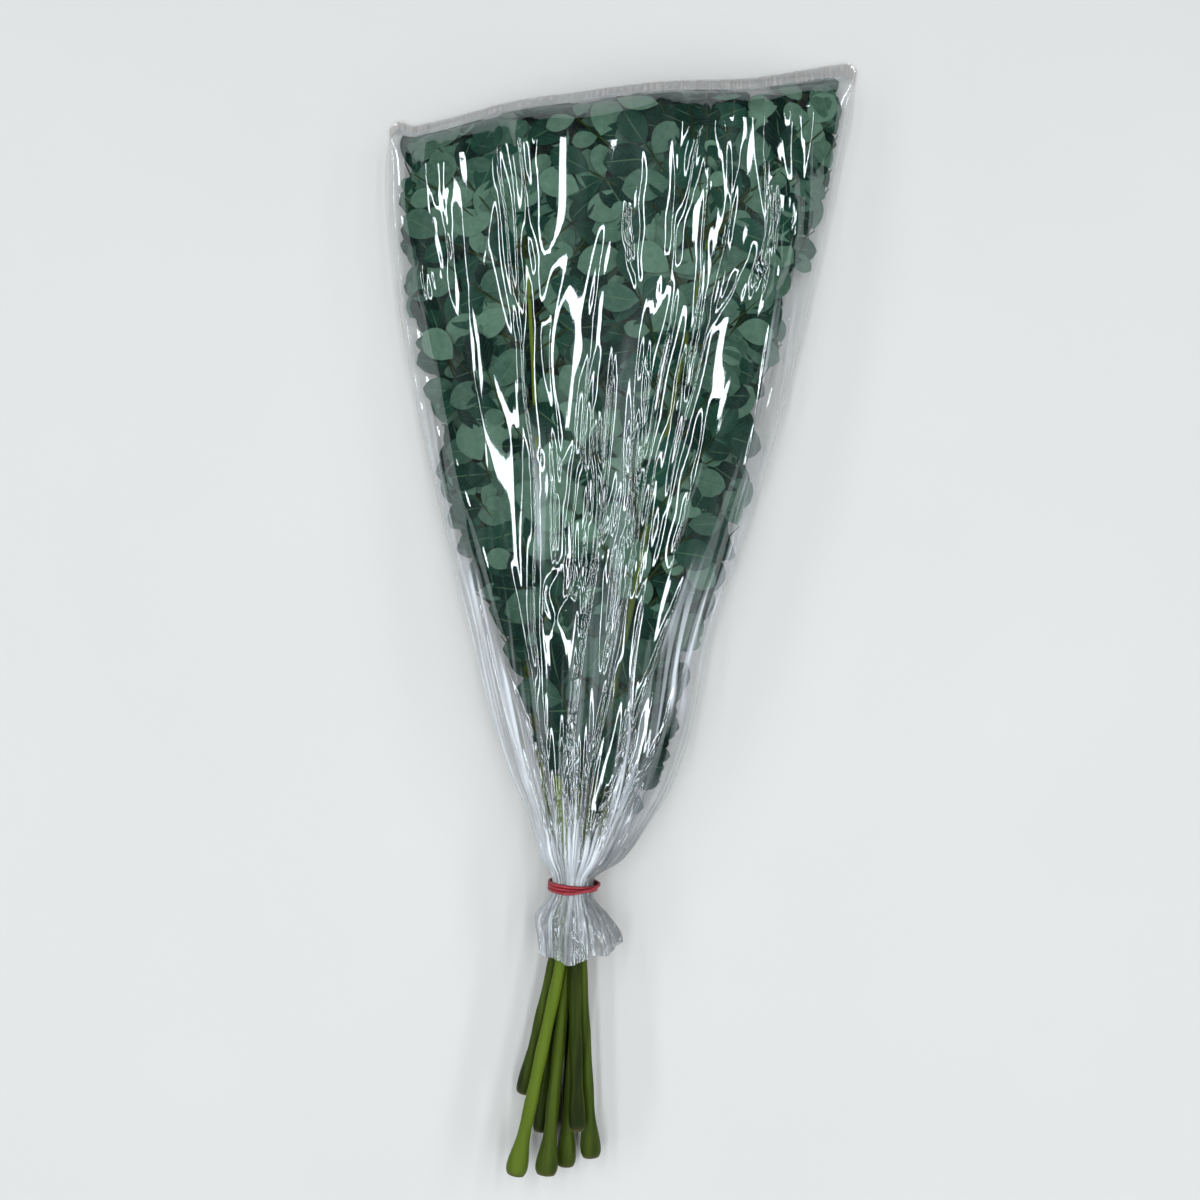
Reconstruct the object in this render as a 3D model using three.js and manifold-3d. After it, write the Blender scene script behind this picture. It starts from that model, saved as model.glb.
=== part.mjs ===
// A bunch of seven moringa fronds in a clear film bag, lying flat, with a red rubber band round the
// bag's neck. Millimetres. +Y runs along the bunch from the cut stems to the leaf tips and +Z is up.
// The origin is on the surface that the bunch lies on, under the middle of its length and width.

import * as THREE from "three";
import { mergeVertices } from "three/addons/utils/BufferGeometryUtils.js";
import Module from "manifold-3d";

const wasm = await Module();
wasm.setup();

// Along the bunch, places are given as distances from the rubber band, which is here.
const NECK_Y = -152;
const NECK_HEIGHT = 14.8;

// The film bag. Its sealed end is at the leaf tips, and its gathered mouth is past the band, where the
// stems leave.
const FILM = 0.8;
const MOUTH_AT = -36;
const INSIDE_ENDS_AT = 428;
const SEAL_AT = 434;
const END_SLOPE = [385, 408];
const TOP_FACETS = 24;
const UNDER_FACETS = 8;
const CROWN_POWER = 2.2;
const RING_PLACES = [
  MOUTH_AT, -26, -16, -8, -4, 4, 9, 16, 26, 40, 60, 85, 115, 150, 190, 235, 280, 325, 365, 395, 412,
  420, INSIDE_ENDS_AT, SEAL_AT,
];

// The bag's cross-sections, each a row of these fields. left and right are half widths, top the height
// of the crown, edge that of the two side edges and floor that of the underside. skew moves the right
// edge ahead of the left, and bow the middle ahead of both. crown is how round the top is, flat how wide
// the underside is, flange the flat film edge and pleat the folds' height.
const SECTION_FIELDS = [
  "at", "left", "right", "top", "edge", "floor", "skew", "bow", "crown", "flat", "flange", "pleat",
];
const BAG_SECTIONS = [
  [MOUTH_AT, 15, 27, 28, 13, 2, 3, -5, 0.5, 1, 0.8, 1.3],
  [-18, 19, 20, 28, 14, 1.6, 1, -1, 0.5, 1, 0.8, 0.9],
  [-4, 13, 13, 27, NECK_HEIGHT, 2.6, 0, 0, 0.5, 1, 0.8, 0.3],
  [4, 13, 13, 27, NECK_HEIGHT, 2.6, 0, 0, 0.5, 1, 0.8, 0.3],
  [16, 19, 27, 29, 14, 1, 0, 0, 0.55, 1.1, 1.2, 1.4],
  [35, 26, 39, 34, 12, 0, 0, 0, 0.6, 1.5, 2, 2],
  [60, 39, 52, 40, 10, 0, 0, 0, 0.66, 2, 3, 2.2],
  [90, 51, 60, 47, 8, 0, 0, 0, 0.72, 2.5, 3, 2],
  [130, 64, 65, 53, 7, 0, 0, 0, 0.78, 3, 3, 1.7],
  [200, 85, 85, 58, 6, 0, 5, 1, 0.8, 3, 3, 1.3],
  [280, 106, 104, 60, 5, 0, 13, 2, 0.8, 3, 3, 1],
  [360, 121, 118, 55, 4.5, 0, 21, 4, 0.75, 3, 3, 1],
  [400, 126, 123, 49, 4, 0, 25, 5.5, 0.66, 3, 3, 0.8],
  [416, 127, 125.4, 37, 3.4, 0, 26.5, 6, 0.6, 3, 3, 0.5],
  [428, 127.5, 126.8, 8, 1.6, 0, 27.5, 6.3, 0.6, 3, 3, 0],
  [SEAL_AT, 127.6, 127.4, 2.4, 1.2, 0, 28, 6.5, 0.5, 3, 3, 0],
].map((row) => Object.fromEntries(SECTION_FIELDS.map((field, i) => [field, row[i]])));

// The rubber band: one loop wound three times, whose last part crosses back over the other turns.
const BAND_TURNS = 3;
const BAND_THICKNESS = 2;
const BAND_PITCH = 2.3;
const BAND_CLEARANCE = 0.6;
const BAND_SIDES = 6;
const BAND_STEPS_PER_TURN = 22;
const BAND_CROSSING_TURNS = 0.42;
const BAND_CROSSING_ENDS = 2.3;

// The stems. Each goes through its own slot in the neck, where the seven are packed like a cable's strands.
const SLOT_PITCH = 7;
const SLOT_PLACES = [MOUTH_AT, -18, -4, 10];
const PATH_PLACES = 16;
const STEM_SIDES = 7;
const STEM_PLACES = 24;
const STEM_RADIUS = 3.5;
const NECK_RADIUS = 3.1;
const LEAFY_RADIUS = 2.1;
const TIP_RADIUS = 0.9;
const BULB_LENGTH = 15;

// The leaflets and the blades that carry them. A blade is one pinna, cut to its rib between its leaflets. Its
// leaflets' outline is in shares of their length along it and of their width across it.
const BLADE = 0.8;
const LEAFLET = { length: 21, width: 15 };
const LEAFLET_OUTLINE = [[0.3, -0.44], [0.78, -0.46], [1, 0], [0.78, 0.46], [0.3, 0.44]];
const LEAFLET_LEAN = THREE.MathUtils.degToRad(60);
const LEAFLET_PITCH = 17;
const LEAFLET_GAP = 0.5;
const PAIRS = 3;
const RIB_HALF_WIDTH = 0.9;
const FOOT_HALF_WIDTH = 1.3;
const PETIOLE = 11;
const ROOT = 0.4;
const PINNA_LEANS = [60, 46, 32].map(THREE.MathUtils.degToRad);
const PINNA_BEND = THREE.MathUtils.degToRad(-16);
const PINNA_PITCH = 50;
const LAYERS = 7;
const LAYER_CLEARANCE = 0.9;
const LEAST_PITCH = 1.5;
const WAVE_LENGTH = 14;
const WAVE_SHARE = 0.25;
const LEAFY_SIDE = 0.93;
const LEAFY_SIDE_LOW = 0.55;
const LEAFY_START = 80;
const LEAFY_END = 421;

// The fronds, from the lowest layer up, each a row of these fields. slot is the place in the neck, tip
// the rachis's end in plan from the band, sweep how late it turns out to it, foot the cut end in plan
// from the band with its height, and bulb its radius.
const FROND_FIELDS = ["name", "slot", "tip", "sweep", "foot", "bulb"];
const FRONDS = [
  ["frond_under_left", [-0.5, -1], [-50, 338], 1.1, [-8.8, -137, 5.8], 5.2],
  ["frond_under_right", [0.5, -1], [38, 348], 1.1, [6, -155, 6.2], 5.6],
  ["frond_middle_left", [-1, 0], [-82, 324], 1.05, [-19.5, -116, 8.2], 5],
  ["frond_middle_centre", [0, 0], [-6, 350], 1.2, [-4.5, -157, 16], 6.2],
  ["frond_middle_right", [1, 0], [88, 352], 1.05, [19.5, -148, 9.5], 5.8],
  ["frond_top_left", [-0.5, 1], [-46, 341], 0.95, [-20.9, -157.5, 18], 6],
  ["frond_top_right", [0.5, 1], [50, 356], 1.15, [11, -131, 20], 4.8],
].map((row) => Object.fromEntries(FROND_FIELDS.map((field, i) => [field, row[i]])));

const LEAF_GREEN = new THREE.MeshStandardMaterial({ color: 0x4d7a52, roughness: 0.6, metalness: 0 });
const CLEAR_FILM = new THREE.MeshStandardMaterial({
  color: 0xdfe8ea, roughness: 0.08, metalness: 0, transparent: true, opacity: 0.3, side: THREE.DoubleSide,
});
const RED_RUBBER = new THREE.MeshStandardMaterial({ color: 0xb01f2c, roughness: 0.55, metalness: 0 });

const mix = THREE.MathUtils.lerp;
const ease = THREE.MathUtils.smoothstep;

// A repeatable number from 0 to 1 for a seed.
function vary(seed) {
  const value = Math.sin(seed * 12.9898) * 43758.5453;
  return value - Math.floor(value);
}

// A field of BAG_SECTIONS at a place, by a cubic that never overshoots its neighbours.
function sectionAt(field, place) {
  const rows = BAG_SECTIONS;
  const at = THREE.MathUtils.clamp(place, rows[0].at, rows[rows.length - 1].at);
  const i = Math.max(0, rows.findIndex((row) => row.at >= at) - 1);
  const slope = (j) => (rows[j + 1][field] - rows[j][field]) / (rows[j + 1].at - rows[j].at);
  const tangent = (j) => {
    if (j === 0 || j === rows.length - 1) return 0;
    const before = slope(j - 1);
    const after = slope(j);
    return before * after <= 0 ? 0 : (2 * before * after) / (before + after);
  };
  const span = rows[i + 1].at - rows[i].at;
  const t = (at - rows[i].at) / span;
  const rise = t * t * (3 - 2 * t);
  return (
    mix(rows[i][field], rows[i + 1][field], rise) +
    span * (tangent(i) * t * (1 - t) * (1 - t) - tangent(i + 1) * t * t * (1 - t))
  );
}

// How far the film bulges at a share q of the half width, from 1 in the middle to 0 at the edges.
function bulge(q, place) {
  return (1 - Math.min(1, Math.abs(q)) ** CROWN_POWER) ** sectionAt("crown", place);
}

// The height of the film's outer face over a place, at a share q of the half width: its top, then its
// underside.
function filmTop(q, place) {
  const edge = sectionAt("edge", place);
  const angle = Math.acos(THREE.MathUtils.clamp(q, -1, 1));
  const fold = TOP_FACETS * angle;
  const fullness = 0.7 + 0.5 * Math.sin((1.7 * fold) / Math.PI + 0.02 * place);
  const pleat = sectionAt("pleat", place) * Math.cos(fold) * fullness * Math.sqrt(Math.sin(angle));
  return edge + (sectionAt("top", place) - edge) * bulge(q, place) + pleat;
}

function filmUnder(q, place) {
  const edge = sectionAt("edge", place);
  return mix(edge, sectionAt("floor", place), Math.min(1, sectionAt("flat", place) * bulge(q, place)));
}

// Where a share q of the half width is in plan, at a place along the bag.
function filmPlan(q, place) {
  const x = q * sectionAt(q < 0 ? "left" : "right", place);
  const y = NECK_Y + place + sectionAt("skew", place) * q + sectionAt("bow", place) * (1 - q * q);
  return [x, y];
}

// A closed solid through rings of points, which all have the same count and go round anticlockwise seen
// from its first end. cap holds the triangles that close an end.
function loft(rings, cap) {
  const count = rings[0].length;
  const positions = rings.flat().flatMap((p) => [p.x, p.y, p.z]);
  const faces = [];
  for (let r = 0; r + 1 < rings.length; r++) {
    for (let i = 0; i < count; i++) {
      const a = r * count + i;
      const b = r * count + ((i + 1) % count);
      faces.push(a, b + count, b, a, a + count, b + count);
    }
  }
  const last = (rings.length - 1) * count;
  for (const [a, b, c] of cap) faces.push(a, b, c, last + a, last + c, last + b);
  return solid(positions, faces);
}

// A manifold-3d solid of a closed surface, with the points that coincide joined.
function solid(positions, faces) {
  const geometry = new THREE.BufferGeometry();
  geometry.setAttribute("position", new THREE.Float32BufferAttribute(positions, 3));
  geometry.setIndex(faces);
  return solidOf(geometry);
}

function solidOf(geometry) {
  geometry.deleteAttribute("normal");
  geometry.deleteAttribute("uv");
  const merged = mergeVertices(geometry, 1e-3);
  const made = new wasm.Manifold(
    new wasm.Mesh({
      numProp: 3,
      vertProperties: merged.attributes.position.array,
      triVerts: new Uint32Array(merged.index.array),
    }),
  );
  if (made.volume() < 0) throw new Error("a solid is inside out");
  return made;
}

// A named mesh of a manifold-3d solid.
function meshOf(name, made, material) {
  const { vertProperties, triVerts, numProp } = made.getMesh();
  const positions = [];
  for (let i = 0; i < vertProperties.length; i += numProp) {
    positions.push(vertProperties[i], vertProperties[i + 1], vertProperties[i + 2]);
  }
  const geometry = new THREE.BufferGeometry();
  geometry.setAttribute("position", new THREE.Float32BufferAttribute(positions, 3));
  geometry.setIndex(new THREE.BufferAttribute(new Uint32Array(triVerts), 1));
  geometry.computeVertexNormals();
  const mesh = new THREE.Mesh(geometry, material);
  mesh.name = name;
  return mesh;
}

// The triangles that close a ring of the bag: each facet of its underside faces three of its top's.
const BAG_CAP = Array.from({ length: UNDER_FACETS }, (_, j) => {
  const each = TOP_FACETS / UNDER_FACETS;
  const under = (k) => (TOP_FACETS + UNDER_FACETS - k) % (TOP_FACETS + UNDER_FACETS);
  const fan = Array.from({ length: each }, (_, i) => [under(j), each * j + i, each * j + i + 1]);
  return [...fan, [under(j), each * (j + 1), under(j + 1)]];
}).flat().filter(([a, b, c]) => a !== b && b !== c && c !== a);

// One ring of the bag: over the top from the right edge to the left, and back along the underside. wall
// is how far the ring lies inside the film's outer face.
function bagRing(place, wall) {
  const outer = [];
  const add = (angle, height) => {
    const q = Math.cos(angle);
    outer.push(new THREE.Vector3(...filmPlan(q, place), height(q, place)));
  };
  for (let i = 0; i < TOP_FACETS; i++) add((Math.PI * i) / TOP_FACETS, filmTop);
  for (let i = 0; i < UNDER_FACETS; i++) add(Math.PI + (Math.PI * i) / UNDER_FACETS, filmUnder);
  if (!wall) return outer;
  const flange = sectionAt("flange", place);
  const [least, most] = [flange - sectionAt("left", place), sectionAt("right", place) - flange];
  return outer.map((p, i) => {
    const before = outer.at(i - 1);
    const after = outer[(i + 1) % outer.length];
    const inward = new THREE.Vector3(before.z - after.z, 0, after.x - before.x).setLength(wall);
    const back = wall * ease(place, END_SLOPE[0], END_SLOPE[1]);
    return new THREE.Vector3(THREE.MathUtils.clamp(p.x + inward.x, least, most), p.y - back, p.z + inward.z);
  });
}

// The bag is its outer form less its inside, which runs out through the gathered mouth.
function bag() {
  const outside = loft(RING_PLACES.map((place) => bagRing(place, 0)), BAG_CAP);
  const inner = RING_PLACES.filter((place) => place <= INSIDE_ENDS_AT).map((place) => bagRing(place, FILM));
  const past = inner[0].map((p) => p.clone().setY(p.y - 2));
  return outside.subtract(loft([past, ...inner], BAG_CAP));
}

// The rubber band's middle line, as a point for each share of its whole length.
function bandPoint(share) {
  const turned = share * BAND_TURNS;
  const crossing = Math.max(0, turned - (BAND_TURNS - BAND_CROSSING_TURNS)) / BAND_CROSSING_TURNS;
  const lift = BAND_PITCH * ease(crossing, 0, 0.3) * (1 - ease(crossing, 0.7, 1));
  const wound = Math.min(1, turned / (BAND_TURNS - BAND_CROSSING_TURNS));
  const along = mix(-1, 1, wound) * BAND_PITCH * (1 - 2 * ease(crossing, 0.12, 0.88));
  const out = BAND_THICKNESS / 2 + BAND_CLEARANCE + lift;
  const angle = BAND_CROSSING_ENDS + 2 * Math.PI * turned;
  const half = (sectionAt("top", 0) - sectionAt("floor", 0)) / 2;
  return new THREE.Vector3(
    (sectionAt("right", 0) + out) * Math.cos(angle),
    NECK_Y + along,
    NECK_HEIGHT + (half + out) * Math.sin(angle),
  );
}

function rubberBand() {
  const steps = BAND_TURNS * BAND_STEPS_PER_TURN;
  const positions = [];
  const faces = [];
  for (let s = 0; s < steps; s++) {
    const middle = bandPoint(s / steps);
    const outward = middle.clone().sub(new THREE.Vector3(0, middle.y, NECK_HEIGHT)).normalize();
    for (let i = 0; i < BAND_SIDES; i++) {
      const angle = (2 * Math.PI * i) / BAND_SIDES;
      const p = middle.clone().addScaledVector(outward, (BAND_THICKNESS / 2) * Math.cos(angle));
      positions.push(p.x, p.y + (BAND_THICKNESS / 2) * Math.sin(angle), p.z);
      const [a, b] = [s * BAND_SIDES + i, s * BAND_SIDES + ((i + 1) % BAND_SIDES)];
      const [c, d] = [a, b].map((n) => (n + BAND_SIDES) % (steps * BAND_SIDES));
      faces.push(a, b, d, a, d, c);
    }
  }
  return solid(positions, faces);
}

// The inside of the bag over a point in plan: where it lies in the bag, and the heights that leaves may use.
function insideAt(x, y) {
  let place = y - NECK_Y;
  let q = 0;
  for (let i = 0; i < 4; i++) {
    q = THREE.MathUtils.clamp(x / sectionAt(x < 0 ? "left" : "right", place), -1, 1);
    place = y - NECK_Y - sectionAt("skew", place) * q - sectionAt("bow", place) * (1 - q * q);
  }
  const edge = sectionAt("edge", place);
  const crown = edge + (sectionAt("top", place) - edge) * bulge(q, place) - 1.2 * sectionAt("pleat", place);
  const low = filmUnder(q, place) + FILM + LAYER_CLEARANCE;
  return { q, place, low, high: Math.max(low, crown - FILM - LAYER_CLEARANCE) };
}

// The height of a layer's middle over a point in plan, and the room between layers there.
function layerAt(layer, x, y) {
  const { low, high } = insideAt(x, y);
  const pitch = (high - low) / LAYERS;
  const wave = Math.sin(x / WAVE_LENGTH + 1.3 * layer) * Math.cos(y / WAVE_LENGTH + 0.7 * layer);
  return { z: low + pitch * (layer + 0.5) + WAVE_SHARE * Math.max(0, pitch - LEAST_PITCH) * wave, pitch };
}

// A frond's path from its cut end, through its slot in the neck, to the tip of its rachis in its layer.
function stemPath(frond, layer) {
  const slotX = frond.slot[0] * SLOT_PITCH;
  const slotZ = NECK_HEIGHT + frond.slot[1] * SLOT_PITCH * Math.sin(Math.PI / 3);
  const [footX, footAt, footZ] = frond.foot;
  const points = [
    new THREE.Vector3(footX, NECK_Y + footAt, footZ),
    new THREE.Vector3(mix(slotX, footX, 0.5), NECK_Y + mix(MOUTH_AT, footAt, 0.52), mix(slotZ, footZ, 0.5)),
    ...SLOT_PLACES.map((place) => new THREE.Vector3(slotX, NECK_Y + place, slotZ)),
  ];
  const [tipX, tipAt] = frond.tip;
  for (let i = 2; i <= PATH_PLACES; i++) {
    const share = i / PATH_PLACES;
    const x = mix(slotX, tipX, share ** frond.sweep);
    const y = NECK_Y + tipAt * share;
    const z = mix(slotZ, layerAt(layer, x, y).z, ease(tipAt * share, 10, 120));
    points.push(new THREE.Vector3(x, y, z));
  }
  return new THREE.CatmullRomCurve3(points, false, "centripetal");
}

// The stem's radius at a distance from its cut end: a swollen base, then a slow taper to the tip.
function stemRadius(frond, distance, place) {
  const shaft = place < 0
    ? mix(STEM_RADIUS, NECK_RADIUS, ease(distance, 0, 140))
    : place < LEAFY_START
      ? mix(NECK_RADIUS, LEAFY_RADIUS, place / LEAFY_START)
      : mix(LEAFY_RADIUS, TIP_RADIUS, (place - LEAFY_START) / (frond.tip[1] - LEAFY_START));
  const swelling = (frond.bulb - STEM_RADIUS) * Math.exp(-((distance / BULB_LENGTH) ** 2));
  const rounding = 1 - 0.16 * Math.exp(-distance / 1.5);
  return (shaft + swelling) * rounding;
}

function stem(frond, path) {
  const length = path.getLength();
  const rings = [];
  for (let i = 0; i < STEM_PLACES; i++) {
    // The first rings are close together, for the swollen base.
    const share = i < 5 ? [0, 0.004, 0.018, 0.038, 0.065][i] : mix(0.065, 1, (i - 4) / (STEM_PLACES - 5));
    const middle = path.getPointAt(share);
    const along = path.getTangentAt(share);
    const side = new THREE.Vector3().crossVectors(along, new THREE.Vector3(0, 0, 1)).normalize();
    const up = new THREE.Vector3().crossVectors(side, along);
    const radius = stemRadius(frond, share * length, middle.y - NECK_Y);
    rings.push(
      Array.from({ length: STEM_SIDES }, (_, s) => {
        const angle = (2 * Math.PI * s) / STEM_SIDES;
        const across = side.clone().multiplyScalar(radius * Math.cos(angle));
        return middle.clone().add(across).addScaledVector(up, radius * Math.sin(angle));
      }),
    );
  }
  return loft(rings, Array.from({ length: STEM_SIDES - 2 }, (_, i) => [0, i + 1, i + 2]));
}

// Whether two convex outlines are apart in plan, by at least a gap.
function apart(a, b, gap) {
  const reach = (outline, normal) => outline.map((point) => point.dot(normal));
  return [a, b].some((outline) =>
    outline.some((p, i) => {
      const q = outline[(i + 1) % outline.length];
      const normal = new THREE.Vector2(q.y - p.y, p.x - q.x).normalize();
      const [first, second] = [reach(a, normal), reach(b, normal)];
      return Math.max(...first) + gap < Math.min(...second) || Math.max(...second) + gap < Math.min(...first);
    }),
  );
}

// Whether an outline is where leaves are: inside the bag, with room for its layer, and clear of the
// film's bare parts.
function hasRoom(outline, layer) {
  return outline.every(({ x, y }) => {
    const { q, place } = insideAt(x, y);
    const side = mix(LEAFY_SIDE_LOW, LEAFY_SIDE, ease(place, LEAFY_START, LEAFY_START + 100));
    return place < LEAFY_END && Math.abs(q) < side && layerAt(layer, x, y).pitch > LEAST_PITCH;
  });
}

// The outline of a pinna that grows from root, turned by lean from +Y, with the leaflets that find room.
// A sign of 1 is its left side and -1 its right.
function pinna({ root, lean, bend, seed, layer, taken }) {
  const reach = PETIOLE + LEAFLET_PITCH * (PAIRS - 0.4);
  const from = (point, turn, across, along) =>
    new THREE.Vector2(-across, along).rotateAround(new THREE.Vector2(), turn).add(point);
  const turnAt = (s) => lean + (bend * s) / reach;
  const ribPoint = (s, across = 0) => {
    const middle = from(root, lean + (bend * s) / (2 * reach), 0, s);
    return from(middle, turnAt(s), across, 0);
  };
  const found = [];
  const leaflet = (s, sign, scale) => {
    const angle = turnAt(s) + sign * LEAFLET_LEAN * (0.92 + 0.16 * vary(seed + s + 3 * sign));
    const foot = ribPoint(s, sign * RIB_HALF_WIDTH);
    const outline = [[0, 0], ...LEAFLET_OUTLINE].map(([along, across]) =>
      from(foot, angle, across * LEAFLET.width * scale, along * LEAFLET.length * scale));
    const clear = [...taken, ...found].every((other) => apart(outline, other, LEAFLET_GAP));
    if (!clear || !hasRoom(outline, layer)) return [];
    found.push(outline);
    return outline.slice(1);
  };
  const side = (sign) => Array.from({ length: PAIRS }, (_, i) => {
    const s = PETIOLE + LEAFLET_PITCH * i + 3 * vary(seed + 5 * i + sign);
    const blade = leaflet(s, sign, 0.9 + 0.2 * vary(seed + 11 * i + 2 * sign));
    const foot = (end) => ribPoint(s + sign * end * FOOT_HALF_WIDTH, sign * RIB_HALF_WIDTH);
    return blade.length ? { s, points: [foot(1), ...blade, foot(-1)] } : null;
  }).filter((made) => made);
  const right = side(-1);
  const left = side(1).reverse();
  const last = Math.max(0, ...right.map(({ s }) => s), ...left.map(({ s }) => s));
  const tip = leaflet(reach, 0, 1.1);
  const ends = tip.length ? reach - 1 : last + 2;
  const end = [ribPoint(ends, -RIB_HALF_WIDTH), ...tip, ribPoint(ends, RIB_HALF_WIDTH)];
  const points = [
    ribPoint(-ROOT, -RIB_HALF_WIDTH), ...right.flatMap((made) => made.points), ...end,
    ...left.flatMap((made) => made.points), ribPoint(-ROOT, RIB_HALF_WIDTH),
  ];
  return { found, points };
}

// A thin blade of an outline in plan, draped in its layer. Both of its faces are split into the same
// triangles.
function bladeSolid(points, layer) {
  const geometry = new THREE.ExtrudeGeometry(new THREE.Shape(points), { depth: BLADE, bevelEnabled: false });
  const position = geometry.attributes.position;
  for (let i = 0; i < position.count; i++) {
    const middle = layerAt(layer, position.getX(i), position.getY(i)).z;
    position.setZ(i, middle - BLADE / 2 + position.getZ(i));
  }
  return solidOf(geometry);
}

// One frond: its stem and rachis, with a pinna to each side at every node and one at the tip.
function frond(made, layer) {
  const path = stemPath(made, layer);
  const plan = path.getPoints(120).map((p) => new THREE.Vector2(p.x, p.y));
  const at = (place) => plan.findIndex((p) => p.y - NECK_Y >= place);
  const turnAt = (i) => Math.atan2(plan[i - 1].x - plan[i].x, plan[i].y - plan[i - 1].y);
  const taken = [];
  for (let i = at(LEAFY_START); i + 3 < plan.length; i += 3) {
    const [near, far] = [plan[i], plan[i + 3]];
    const along = far.clone().sub(near);
    const across = new THREE.Vector2(-along.y, along.x).setLength(LEAFY_RADIUS);
    const edge = (end, side) => end.clone().addScaledVector(across, side);
    taken.push([edge(near, -1), edge(far, -1), edge(far, 1), edge(near, 1)]);
  }
  let body = stem(made, path);
  const grow = (root, leans, bend, seed) => {
    const tries = leans.map((lean) => pinna({ root, lean, bend, seed, layer, taken }));
    const best = tries.reduce((most, next) => (next.found.length > most.found.length ? next : most));
    if (best.found.length < 2) return 0;
    taken.push(...best.found);
    body = body.add(bladeSolid(best.points, layer));
    return best.found.length;
  };
  const end = plan.length - 1;
  let count = grow(plan[end - 1], [turnAt(end)], 0, layer);
  for (let place = made.tip[1] - 0.8 * PINNA_PITCH; place > LEAFY_START; place -= PINNA_PITCH) {
    const i = at(place);
    for (const sign of [-1, 1]) {
      const leans = PINNA_LEANS.map((lean) => turnAt(i) + sign * lean);
      count += grow(plan[i], leans, sign * PINNA_BEND, 17 * layer + place + sign);
    }
  }
  if (body.decompose().length > 1) throw new Error(`${made.name} is in pieces`);
  return { body, count };
}

const bunch = new THREE.Group();
bunch.add(meshOf("bag", bag(), CLEAR_FILM), meshOf("rubber_band", rubberBand(), RED_RUBBER));
FRONDS.forEach((made, layer) => {
  bunch.add(meshOf(made.name, frond(made, layer).body, LEAF_GREEN));
});

export default bunch;
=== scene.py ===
"""A bunch of moringa fronds in a clear film bag with a red rubber band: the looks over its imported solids.

The bag, band and fronds follow the same forms as the solids. Their sizes are in millimetres, and each mesh is
made in metres. Along the bunch, places are distances from the rubber band, towards the leaf tips.
"""

import logging
import math
from dataclasses import dataclass, field, replace
from enum import Enum, IntEnum

import bpy
import numpy as np
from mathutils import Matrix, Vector, noise


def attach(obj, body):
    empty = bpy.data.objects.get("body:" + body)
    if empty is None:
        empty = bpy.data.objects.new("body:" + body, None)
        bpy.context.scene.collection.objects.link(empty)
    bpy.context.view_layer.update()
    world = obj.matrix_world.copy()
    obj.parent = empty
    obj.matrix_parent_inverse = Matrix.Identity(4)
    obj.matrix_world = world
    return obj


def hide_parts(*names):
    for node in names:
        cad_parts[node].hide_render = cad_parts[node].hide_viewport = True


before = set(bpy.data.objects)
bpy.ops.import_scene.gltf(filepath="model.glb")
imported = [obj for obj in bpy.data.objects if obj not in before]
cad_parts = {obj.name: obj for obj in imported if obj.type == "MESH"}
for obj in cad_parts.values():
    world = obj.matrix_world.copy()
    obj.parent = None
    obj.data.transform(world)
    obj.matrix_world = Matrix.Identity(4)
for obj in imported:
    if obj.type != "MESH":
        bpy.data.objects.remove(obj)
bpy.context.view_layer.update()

LOG = logging.getLogger("moringa_bunch")

MM = 0.001
NECK_Y = -152.0
NECK_HEIGHT = 14.8
MOUTH_AT = -36.0
SEAL_AT = 434.0
FILM = 0.8
CROWN_POWER = 2.2

SECTION_FIELDS = ("at", "left", "right", "top", "edge", "floor", "skew", "bow", "crown", "flat", "pleat")
BAG_SECTIONS = (
    (MOUTH_AT, 15, 27, 28, 13, 2, 3, -5, 0.5, 1, 1.3),
    (-18, 19, 20, 28, 14, 1.6, 1, -1, 0.5, 1, 0.9),
    (-4, 13, 13, 27, NECK_HEIGHT, 2.6, 0, 0, 0.5, 1, 0.3),
    (4, 13, 13, 27, NECK_HEIGHT, 2.6, 0, 0, 0.5, 1, 0.3),
    (16, 19, 27, 29, 14, 1, 0, 0, 0.55, 1.1, 1.4),
    (35, 26, 39, 34, 12, 0, 0, 0, 0.6, 1.5, 2),
    (60, 39, 52, 40, 10, 0, 0, 0, 0.66, 2, 2.2),
    (90, 51, 60, 47, 8, 0, 0, 0, 0.72, 2.5, 2),
    (130, 64, 65, 53, 7, 0, 0, 0, 0.78, 3, 1.7),
    (200, 85, 85, 58, 6, 0, 5, 1, 0.8, 3, 1.3),
    (280, 106, 104, 60, 5, 0, 13, 2, 0.8, 3, 1),
    (360, 121, 118, 55, 4.5, 0, 21, 4, 0.75, 3, 1),
    (400, 126, 123, 49, 4, 0, 25, 5.5, 0.66, 3, 0.8),
    (416, 127, 125.4, 37, 3.4, 0, 26.5, 6, 0.6, 3, 0.5),
    (428, 127.5, 126.8, 8, 1.6, 0, 27.5, 6.3, 0.6, 3, 0),
    (SEAL_AT, 127.6, 127.4, 2.4, 1.2, 0, 28, 6.5, 0.5, 3, 0),
)

# Each dip of the sealed end: how deep it is, then its middle and its spread as shares q.
SEAL_DIPS = ((4.8, 0.55, 0.3), (-2.0, -0.45, 0.2), (-5.0, -0.965, 0.04))
# How far the right corner lies back, and the share q that it starts from.
RIGHT_CORNER = (4.0, 0.965)
# The place from which the sealed end lies back.
SETTLED_FROM = 380.0
# The seal's width at the left edge and at the right edge.
SEAL_WIDTHS = (5.0, 8.5)
# How many long cells of creases go over the bag's top.
LONG_CELLS = 15
# The steepest slope of a hill that is 1 high with a spread of 1.
STEEPEST = 0.858


def ease(value, low: float, high: float):
    """Rise smoothly from 0 at low to 1 at high, for a number or an array."""
    share = np.clip((np.asarray(value, dtype=float) - low) / (high - low), 0.0, 1.0)
    return share * share * (3.0 - 2.0 * share)


def mix(low, high, share):
    """Return the value that lies at a share of the way from low to high."""
    return low + (high - low) * share


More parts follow.
